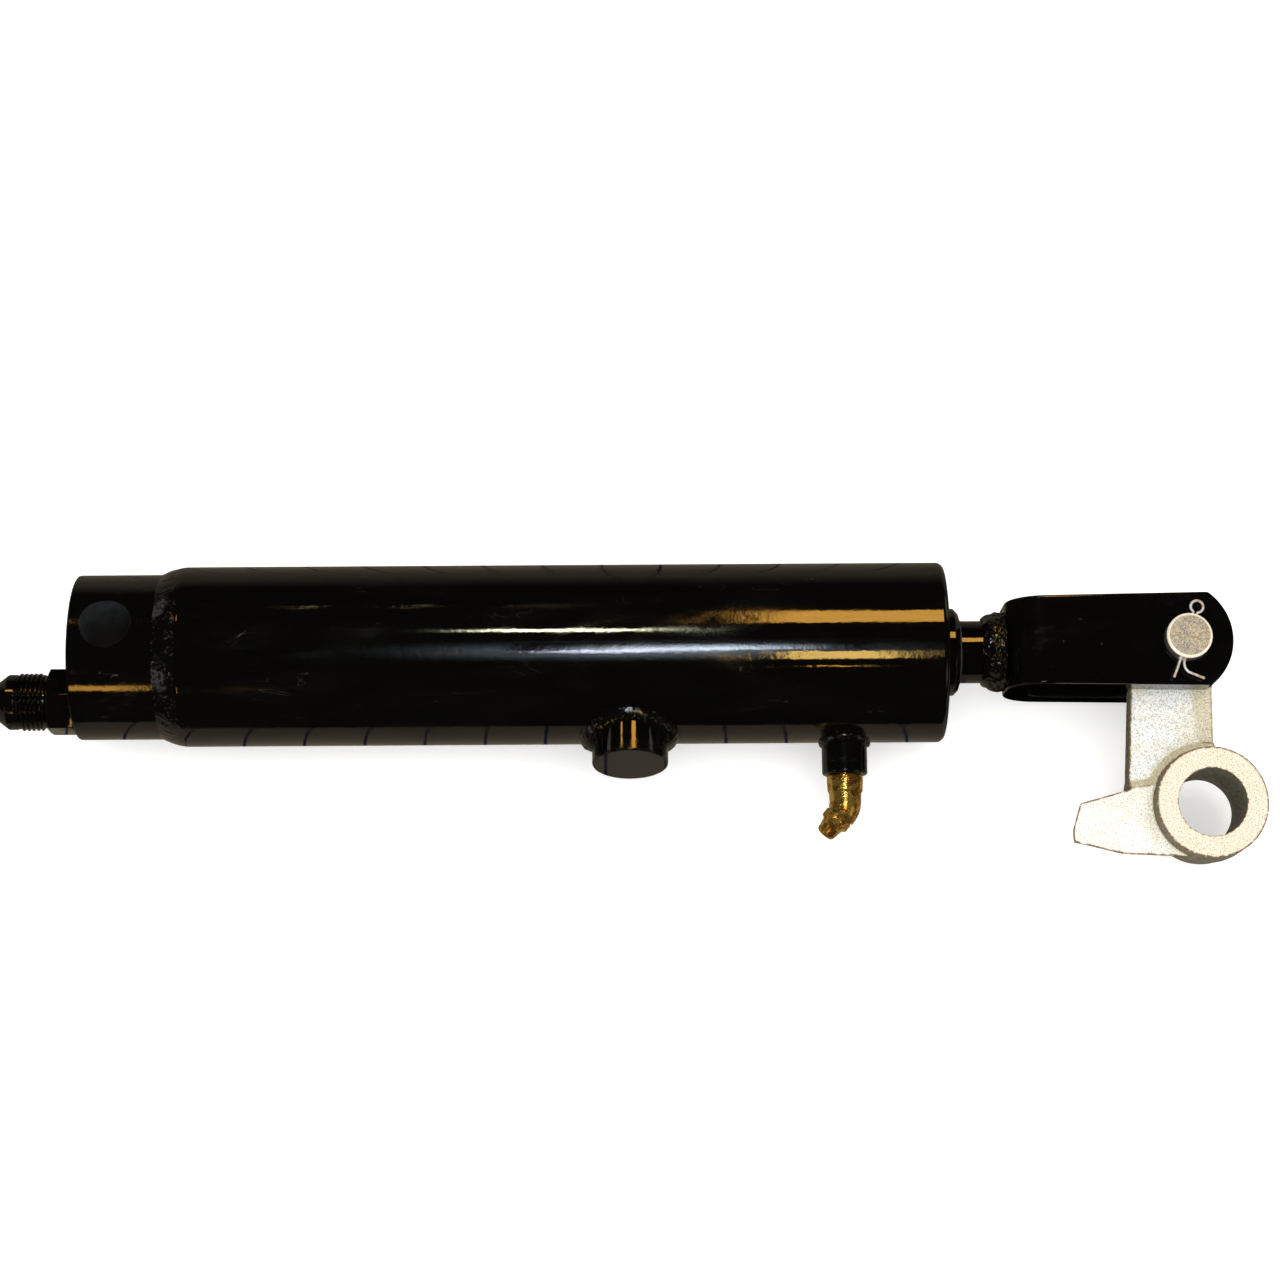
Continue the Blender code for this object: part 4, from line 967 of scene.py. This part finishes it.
def make_rod(paint, chrome):
    """The shaft is bare chrome where it slides, and painted where the assembled cylinder showed it."""
    edge = GLAND_FACE + 0.3 * MM
    shaft = [
        (53.5 * MM, 0), (53.5 * MM, 10.2 * MM), (54.3 * MM, 11.0 * MM), (106.6 * MM, 11.0 * MM),
        (106.6 * MM, ROD_R - 0.6 * MM), (107.2 * MM, ROD_R - 0.04 * MM), (edge, ROD_R - 0.04 * MM),
        (edge, 0),
    ]
    add_piece("rod_shaft", turned(shaft, 96), ROD, "rod", chrome, ["piston_rod"])
    rings = []
    for station, radius in [(edge, ROD_R - 0.05 * MM), (edge + 0.15 * MM, ROD_R), (ROD_END, ROD_R)]:
        ring = []
        for angle in turn_angles(160):
            ragged = 0.22 * MM * lumpiness(angle, 0, 0.18, 5) + 0.25 * MM
            x = station + (ragged if station < ROD_END else 0)
            ring.append(round_point(x, radius, angle))
        rings.append(ring)
    shape = loft(rings, capped=True)
    add_piece("rod_painted_end", shape, ROD, "rod", paint, ["piston_rod"])


CLEVIS_BACK = 391.2 * MM
CLEVIS_HALF_WIDTH = 22.225 * MM
CLEVIS_SLOT_HALF = 9.525 * MM
CLEVIS_BEND_R = 15.5 * MM
CLEVIS_SLOT_END = 399.3 * MM
PIN_R = 9.525 * MM


def make_clevis(paint):
    """Side view and plan, extruded and intersected, with rounded edges and a chamfered pin hole."""
    far = PIN_STATION + 30 * MM
    bend_x = CLEVIS_BACK + CLEVIS_BEND_R
    bend_y = CLEVIS_HALF_WIDTH - CLEVIS_BEND_R
    plan = [(far, CLEVIS_HALF_WIDTH)]
    plan += arc(bend_x, bend_y, CLEVIS_BEND_R, math.pi / 2, math.pi, 28)
    plan += arc(bend_x, -bend_y, CLEVIS_BEND_R, math.pi, math.pi * 1.5, 28)
    plan += [(far, -CLEVIS_HALF_WIDTH), (far, -CLEVIS_SLOT_HALF)]
    slot_x = CLEVIS_SLOT_END + CLEVIS_SLOT_HALF
    plan += arc(slot_x, 0, CLEVIS_SLOT_HALF, -math.pi / 2, -math.pi * 1.5, 44)
    plan.append((far, CLEVIS_SLOT_HALF))
    nose_x = PIN_STATION - 5.4 * MM
    nose_r = 24.8 * MM
    nose_half = 19.9 * MM
    start = math.asin(nose_half / nose_r)
    side = arc(nose_x, 0, nose_r, -start, start, 48)
    back = CLEVIS_BACK - 5 * MM
    side += [(back, 18.6 * MM), (back, -18.6 * MM)]
    deep = 40 * MM
    shape = prism(side, -deep, deep)
    clevis = add_piece("clevis_fork", shape, CLEVIS, "rod", paint, ["clevis"])
    upright = CLEVIS @ Matrix.Rotation(math.pi / 2, 4, "X")
    combine(clevis, "INTERSECT", prism(plan, -deep, deep), upright)
    bevel(clevis, 1.0 * MM, 4, 35)
    hole_r = PIN_R + 0.35 * MM
    lead = 0.7 * MM
    face = CLEVIS_HALF_WIDTH
    hole = [
        (-face - 1 * MM, 0), (-face - 1 * MM, hole_r + lead + 1 * MM), (-face + lead, hole_r),
        (face - lead, hole_r), (face + 1 * MM, hole_r + lead + 1 * MM), (face + 1 * MM, 0),
    ]
    cut(clevis, turned(hole, 80), PIN @ TO_Z)
    rounds = [
        (Vector((bend_x, 0, bend_y)), Y_AXIS, CLEVIS_BEND_R),
        (Vector((bend_x, 0, -bend_y)), Y_AXIS, CLEVIS_BEND_R),
        (X_AXIS * slot_x, Y_AXIS, CLEVIS_SLOT_HALF),
        (X_AXIS * nose_x, Z_AXIS, nose_r),
        (X_AXIS * PIN_STATION, Z_AXIS, hole_r),
    ]
    true_rounds(clevis, rounds)


def make_clevis_weld(paint):
    """A heaped, spattered bead between the rod and the back of the fork."""
    start = 381.6 * MM
    end = CLEVIS_BACK - 0.05 * MM
    layers = ((1.0 * MM, 4.2 * MM, 2), (0.55 * MM, 1.9 * MM, 7), (0.22 * MM, 0.95 * MM, 5))
    rings = []
    for t in fractions(40):
        station = start + (end - start) * t
        crown = ROD_R + 3.5 * MM * math.sin(math.pi * min(1.0, 0.06 + 0.60 * t)) ** 0.8
        fade = min(1.0, 4 * t + 0.1)
        ring = []
        for angle in turn_angles(260):
            place = round_point(station, 14 * MM, angle)
            lumps = sum(height * grain(*place, size, seed) for height, size, seed in layers)
            radius = max(ROD_R + 0.03 * MM, crown + lumps * fade)
            wander = 0.7 * MM * lumpiness(angle, 0, 0.35, 9) * (1 - t)
            ring.append(round_point(station + wander, radius, angle))
        rings.append(ring)

    def on_rod(ring):
        return [round_point(x, ROD_R, math.atan2(z, y)) for x, y, z in ring]

    rings = [on_rod(rings[0])] + rings + [on_rod(rings[-1])]
    add_piece("clevis_weld_bead", loft(rings), ROD, "rod", paint, ["clevis_weld"], 75)


# ---------------- pin, cotters and lever

PIN_HALF = 28.6 * MM
COTTER_HEIGHT = 25.5 * MM
COTTER_TURN = math.radians(-17)


def make_pin(zinc):
    outline = [
        (-PIN_HALF, 0), (-PIN_HALF, PIN_R - 1.0 * MM), (-PIN_HALF + 1.1 * MM, PIN_R),
        (PIN_HALF - 1.1 * MM, PIN_R), (PIN_HALF, PIN_R - 1.0 * MM), (PIN_HALF, 0),
    ]
    shape = turned(soften(outline, 0.3 * MM, closed=False), 96)
    pin = add_piece("clevis_pin_turned", shape, PIN @ TO_Z, "pin", zinc, ["clevis_pin"])
    for height in (COTTER_HEIGHT, -COTTER_HEIGHT):
        turn = Matrix.Rotation(COTTER_TURN - math.pi / 2, 4, "Z")
        place = PIN @ shift(z=height) @ turn
        reach = PIN_R + 3 * MM
        cut(pin, peg(-reach, reach, 2.0 * MM, 28), place)


def make_cotter(name, height, zinc):
    """Bent wire: an eye at +Y, one leg splayed a little and the other curled to +X."""
    half = 0.85 * MM
    eye_r = 2.6 * MM
    wire_r = 0.52 * MM
    eye_y = PIN_R + eye_r + wire_r + 0.5 * MM
    mouth = math.asin(half / eye_r)
    begin = -math.pi / 2 - mouth
    out = -(PIN_R + 0.9 * MM)
    route = [(-1.5 * MM, out - 8.0 * MM), (-1.15 * MM, out - 4.2 * MM)]
    route += [(-half - 0.1 * MM, out - 0.6 * MM), (-half, out + 2 * MM), (-half, 0)]
    route.append((-half, PIN_R - 1 * MM))
    route += arc(0, eye_y, eye_r, begin, begin - (TURN - 2 * mouth), 24)
    route += [(half, PIN_R - 1 * MM), (half, 0), (half, out + 2 * MM)]
    corner = 4.5 * MM
    route += arc(half + corner, out, corner, math.pi, math.pi * 1.38, 8)
    route.append((half + 9.8 * MM, out - 4.9 * MM))
    wire = bpy.data.curves.new(name, "CURVE")
    wire.dimensions = "3D"
    wire.bevel_depth = wire_r
    wire.bevel_resolution = 5
    wire.use_fill_caps = True
    spline = wire.splines.new("POLY")
    spline.points.add(len(route) - 1)
    for point, (x, y) in zip(spline.points, route):
        point.co = (x, y, 0, 1)
    wire.materials.append(zinc)
    cotter = link(bpy.data.objects.new(name + "_wire", wire))
    turn = Matrix.Rotation(COTTER_TURN, 4, "Z")
    cotter.matrix_world = PIN @ shift(z=height) @ turn
    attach(cotter, "pin")
    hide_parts(name)


EYE_ALONG = 8.5 * MM
EYE_OUT = 68.3 * MM
EYE_R = 23.3 * MM
EYE_UPPER = 18.0 * MM
EYE_LOWER = 17.0 * MM
EYE_BORE_R = 14.3 * MM
ARM_HALF = 7.0 * MM
TAB_HALF = 9.6 * MM
STEP_SLOPE = 3.4 * MM
LEVER_VOXEL = 0.5 * MM


def inset(outline, distance):
    """Moves each corner of an outline inward, to its left as it is walked round anticlockwise."""
    moved = []
    for index, corner in enumerate(outline):
        here = Vector(corner)
        arriving = (here - Vector(outline[index - 1])).normalized()
        leaving = (Vector(outline[(index + 1) % len(outline)]) - here).normalized()
        inward = Vector((-arriving.y - leaving.y, arriving.x + leaving.x)).normalized()
        moved.append(tuple(here + inward * distance))
    return moved


def drafted(outline, half, middle, low):
    """A cast slab that narrows by these amounts at its middle plane and at its lower face."""
    steps = [(-half, low), (0, middle), (half, 0)]
    return loft([[(x, y, z) for x, y in inset(outline, d)] for z, d in steps], capped=True)


def make_lever(casting):
    """Arm, tab and eye joined, remeshed and smoothed to a casting with soft edges and fillets."""
    head = arc(0, 0, 18.5 * MM, math.radians(-40), math.radians(200), 60)
    arm = head + mm((-22.1, -18), (-24.6, -61), (-14, -66), (8, -66), (12.2, -46), (13.0, -18))
    shape = drafted(arm, ARM_HALF, 0, 0.6 * MM)
    lever = add_piece("lever_casting", shape, PIN, "lever", casting, ["lever"])
    for side in (1, -1):
        crease_top = Vector((2.4 * MM, -12 * MM, side * ARM_HALF))
        crease_foot = Vector((6.2 * MM, -48 * MM, side * ARM_HALF))
        edge_top = Vector((13.4 * MM, -12 * MM, side * (ARM_HALF - 4.6 * MM)))
        normal = (crease_foot - crease_top).cross(edge_top - crease_top)
        if normal.z * side < 0:
            normal = -normal
        cut_plane(lever, crease_top, normal)
    tab = mm(
        (8, -60), (-14, -59.6), (-24.6, -61.6), (-45.4, -67.3),
        (-48.9, -78.8), (-48.7, -83.7), (-28.4, -88.9), (8, -90.6),
    )
    eye_place = shift(EYE_ALONG, -EYE_OUT) @ TO_Z
    small = EYE_R - 1.5 * MM
    eye = [(-EYE_LOWER, 0), (-EYE_LOWER, small), (0, EYE_R), (EYE_UPPER, EYE_R), (EYE_UPPER, 0)]
    lump(lever, drafted(tab, TAB_HALF, 2.2 * MM, 3.6 * MM))
    lump(lever, turned(eye, 120), eye_place)
    lump(lever, step_round_eye(arm, eye_place))
    lump(lever, step_along_tab())
    remesh = lever.modifiers.new("cast", "REMESH")
    remesh.mode = "VOXEL"
    remesh.voxel_size = LEVER_VOXEL
    soft = lever.modifiers.new("soft", "SMOOTH")
    soft.factor = 0.5
    soft.iterations = 7
    settle(lever)
    reach = 25 * MM
    cut(lever, peg(-reach, reach, EYE_BORE_R, 120), PIN @ eye_place)
    cut(lever, peg(-reach, reach, PIN_R + 0.35 * MM, 80), PIN @ TO_Z)
    lever.data.shade_smooth()
    lever.data.set_sharp_from_angle(angle=math.radians(55))


def lump(piece, shape, place=Matrix()):
    """Adds an overlapping solid to a piece that is going to be remeshed as one."""
    bmesh.ops.recalc_face_normals(shape, faces=shape.faces)
    bmesh.ops.transform(shape, matrix=place, verts=shape.verts)
    shape.from_mesh(piece.data)
    shape.to_mesh(piece.data)
    shape.free()


def step_round_eye(arm, eye_place):
    """The sloped step from the arm up to the eye, above and below."""
    skirt = [
        (-TAB_HALF - 1 * MM, 0), (-TAB_HALF - 1 * MM, EYE_R - 0.5 * MM),
        (-ARM_HALF, EYE_R + STEP_SLOPE), (ARM_HALF, EYE_R + STEP_SLOPE),
        (TAB_HALF + 1 * MM, EYE_R - 0.5 * MM), (TAB_HALF + 1 * MM, 0),
    ]
    step = tool(turned(skirt, 96), eye_place)
    combine(step, "INTERSECT", prism(inset(arm, 0.05 * MM), -20 * MM, 20 * MM), Matrix())
    shape = bmesh.new()
    shape.from_mesh(step.data)
    bmesh.ops.transform(shape, matrix=eye_place, verts=shape.verts)
    bpy.data.objects.remove(step)
    return shape


def step_along_tab():
    """The sloped step from the arm up to the tab, above and below."""
    ramp = bmesh.new()
    for x, y in ((-24.3 * MM, -61.2 * MM), (4 * MM, -58.0 * MM)):
        for z in (TAB_HALF, -TAB_HALF):
            ramp.verts.new((x, y, z))
            ramp.verts.new((x, y - 3 * MM, z))
        for z in (ARM_HALF, -ARM_HALF):
            ramp.verts.new((x, y + STEP_SLOPE, z))
    bmesh.ops.convex_hull(ramp, input=ramp.verts)
    return ramp


def cut_plane(piece, point, normal):
    """Removes what lies beyond a plane, and fills the cut."""
    shape = bmesh.new()
    shape.from_mesh(piece.data)
    geometry = shape.verts[:] + shape.edges[:] + shape.faces[:]
    made = bmesh.ops.bisect_plane(
        shape, geom=geometry, plane_co=point, plane_no=normal, clear_outer=True, dist=1e-7
    )
    edges = [item for item in made["geom_cut"] if isinstance(item, bmesh.types.BMEdge)]
    bmesh.ops.contextual_create(shape, geom=edges)
    bmesh.ops.recalc_face_normals(shape, faces=shape.faces)
    shape.to_mesh(piece.data)
    shape.free()


# ---------------- stage

def place_towards(thing, direction, distance, aim):
    """Puts a light at a distance from aim along a direction, facing it."""
    spot = Vector(aim) + Vector(direction).normalized() * distance
    thing.rotation_mode = "QUATERNION"
    thing.location = spot
    thing.rotation_quaternion = (Vector(aim) - spot).to_track_quat("-Z", "Y")


def add_light(name, size, watts, colour, direction):
    """A soft light on matt surfaces, which isn't seen in reflections."""
    lamp = bpy.data.lights.new(name, "AREA")
    lamp.shape = "RECTANGLE"
    lamp.size, lamp.size_y = size
    lamp.energy = watts
    lamp.color = colour
    light = link(bpy.data.objects.new(name, lamp))
    place_towards(light, direction, LIGHT_DISTANCE, (0, 0, 0))
    light.visible_glossy = False


def add_card(name, corners, glow):
    """A flat panel seen only in reflections, which casts no light on matt surfaces."""
    shape = bmesh.new()
    shape.faces.new([shape.verts.new(corner) for corner in corners])
    mesh = bpy.data.meshes.new(name)
    shape.to_mesh(mesh)
    shape.free()
    mesh.materials.append(glow)
    card = link(bpy.data.objects.new(name, mesh))
    card.visible_camera = False
    card.visible_diffuse = False
    card.visible_shadow = False
    return card


def add_softbox(name, size, radiance, colour, soft):
    """A card whose light fades towards its edges."""
    across = size[0] / 2
    rise = size[1] / 2
    corners = [(-across, -rise, 0), (across, -rise, 0), (across, rise, 0), (-across, rise, 0)]
    return add_card(name, corners, make_soft_glow(name, size, colour, radiance, soft))


def strip(name, x_range, turns, radiance, colour, soft):
    """A softbox along X. turns are its edges' angles from the camera's."""
    middle = math.radians(sum(turns) / 2)
    direction = VIEW_BACK * math.cos(middle) + VIEW_UP * math.sin(middle)
    height = 2 * STRIP_DISTANCE * math.tan(math.radians(turns[1] - turns[0]) / 2)
    panel = add_softbox(name, (x_range[1] - x_range[0], height), radiance, colour, soft)
    place_towards(panel, direction, STRIP_DISTANCE, (sum(x_range) / 2, AXIS_Y, AXIS_Z))
    return panel


def add_flat_card(name, x_range, y_range, glow):
    """A card that lies just under the floor."""
    (left, right), (front, back) = x_range, y_range
    corners = [(left, front), (right, front), (right, back), (left, back)]
    add_card(name, [(x, y, CARD_LEVEL) for x, y in corners], glow)


def add_ruled_paper():
    """Two ruled sheets under the floor, cut back beside the rod, and a ruled wall at the back."""
    front = make_ruled_glow("front_paper", FRONT_RULES, FRONT_PAPER_GLOW)
    back = make_ruled_glow("back_paper", BACK_RULES, BACK_PAPER_GLOW)
    near = AXIS_Y - BARREL_R - 58 * MM
    at_rod = GLAND_FACE + BASE_X + 15 * MM
    beside_rod = 40 * MM
    add_flat_card("front_card", (-CARD_REACH, at_rod), (near, AXIS_Y), front)
    add_flat_card("front_card_rod", (at_rod, CARD_REACH), (near, AXIS_Y - beside_rod), front)
    add_flat_card("back_card", (-CARD_REACH, at_rod), (AXIS_Y, CARD_BACK), back)
    add_flat_card("back_card_rod", (at_rod, CARD_REACH), (AXIS_Y + beside_rod, CARD_BACK), back)
    low_edge = [(x, CARD_BACK, CARD_LEVEL) for x in (-CARD_REACH, CARD_REACH)]
    high_edge = [(x, CARD_BACK, WALL_HEIGHT) for x in (CARD_REACH, -CARD_REACH)]
    wall = make_ruled_glow("back_wall", BACK_RULES, BACK_WALL_GLOW, WALL_HEIGHT)
    add_card("wall_card", low_edge + high_edge, wall)


def add_softboxes():
    for values in STRIPS:
        strip(*values)
    for number, middle in enumerate(FAR_LAMPS):
        x_range = (middle - FAR_LAMP_HALF, middle + FAR_LAMP_HALF)
        lamp = strip(
            f"far_lamp_{number}", x_range, FAR_LAMP_TURNS, FAR_LAMP_RADIANCE, LAMP_GOLD, FAR_LAMP_SOFT
        )
        lamp.rotation_quaternion @= Quaternion(Z_AXIS, FAR_LAMP_LEAN)
    aim = Vector((0, AXIS_Y, AXIS_Z))
    for side, x in (("left", -SIDE_BOX_X), ("right", SIDE_BOX_X)):
        for place, y in (("front", -SIDE_BOX_Y), ("back", SIDE_BOX_Y)):
            name = f"{side}_{place}_box"
            box = add_softbox(name, SIDE_BOX_SIZE, SIDE_BOX_RADIANCE, SIDE_BOX_COLOUR, SIDE_BOX_SOFT)
            offset = Vector((x, y, SIDE_BOX_HEIGHT)) - aim
            place_towards(box, offset, offset.length, aim)


def make_stage():
    """Floor and surroundings are pale, but kept out of reflections, which would turn the paint grey."""
    shape = bmesh.new()
    bmesh.ops.create_grid(shape, x_segments=2, y_segments=2, size=FLOOR_HALF_SIZE)
    floor = add_piece("floor", shape, shift(z=-FLOOR_DROP), None, make_floor_finish())
    floor.visible_glossy = False
    add_ruled_paper()
    for values in LIGHTS:
        add_light(*values)
    add_softboxes()
    world = bpy.data.worlds.new("studio")
    bpy.context.scene.world = world
    world.use_nodes = True
    background = world.node_tree.nodes["Background"]
    background.inputs["Color"].default_value = WORLD_COLOUR
    background.inputs["Strength"].default_value = WORLD_STRENGTH
    world.cycles_visibility.glossy = False


def make_camera():
    lens = bpy.data.cameras.new("camera")
    lens.lens = VIEW_LENS
    lens.sensor_width = SENSOR_WIDTH
    lens.clip_end = 20
    camera = link(bpy.data.objects.new("camera", lens))
    target = Vector((VIEW_TARGET_X, AXIS_Y, AXIS_Z)) + VIEW_UP * VIEW_TARGET_UP
    spot = Matrix.Translation(target + VIEW_BACK * VIEW_DISTANCE)
    turned_view = Matrix((X_AXIS, VIEW_UP, VIEW_BACK)).transposed().to_4x4()
    camera.matrix_world = spot @ turned_view @ Matrix.Rotation(VIEW_ROLL, 4, "Z")
    bpy.context.scene.camera = camera


# ---------------- everything

def finish_carried_nodes():
    """Materials for the CAD nodes that stay as they are: the pieces inside the barrel."""
    looks = {
        "rubber": make_moulded("rubber", (0.018, 0.018, 0.018), 0.6, 0.5 * MM),
        "bearing_plastic": make_moulded("bearing_plastic", (0.30, 0.16, 0.08), 0.5, 0.8 * MM),
        "polyurethane": make_moulded("polyurethane", (0.10, 0.20, 0.45), 0.4, 0.7 * MM),
        "machined_steel": make_turned_metal("machined_steel", (0.50, 0.50, 0.51), 0.28, 0.5 * MM),
    }
    slots = {part["node"]: part["material_slot"] for part in frame["record"]["subparts"]}
    for name, node in frame["nodes"].items():
        if node.hide_render:
            continue
        node.data.materials.clear()
        node.data.materials.append(looks[slots[name]])


def main():
    paint = make_black_paint()
    weld_paint = make_weld_paint()
    make_barrel_tube(paint)
    make_base_cap(paint, make_shaded_dusty_paint())
    make_base_weld(weld_paint)
    boss_r = 15.875 * MM
    port_r = 9.525 * MM
    make_stub("side_boss_stub", boss_r, 50.8 * MM, 0.9 * MM, BOSS, paint, "side_boss")
    legs = (4.6 * MM, 4.6 * MM)
    make_saddle_weld("side_boss_bead", boss_r, legs, BOSS, weld_paint, "side_boss_weld", 34, 0.25, 2.0)
    bore = (6.6 * MM, 43 * MM)
    make_stub("port_boss_stub", port_r, 52.4 * MM, 1.2 * MM, PORT, paint, "port_boss", bore)
    legs = (1.5 * MM, 2.6 * MM)
    make_saddle_weld("port_boss_bead", port_r, legs, PORT, weld_paint, "port_boss_weld", 26, 0.0, 5.0)
    make_port_elbow(make_brass())
    make_base_adapter(paint)
    make_gland(paint)
    make_wiper(make_moulded("wiper_rubber", (0.015, 0.015, 0.015), 0.5, 0.5 * MM))
    make_rod(paint, make_turned_metal("chrome", (0.62, 0.62, 0.63), 0.09, 0.8 * MM))
    make_clevis(paint)
    make_clevis_weld(weld_paint)
    make_pin(make_zinc_steel())
    wire = make_zinc_wire()
    make_cotter("cotter_upper", COTTER_HEIGHT, wire)
    make_cotter("cotter_lower", -COTTER_HEIGHT, wire)
    make_lever(make_casting())
    finish_carried_nodes()
    make_stage()
    make_camera()
    bpy.context.scene.view_settings.view_transform = "Standard"


main()
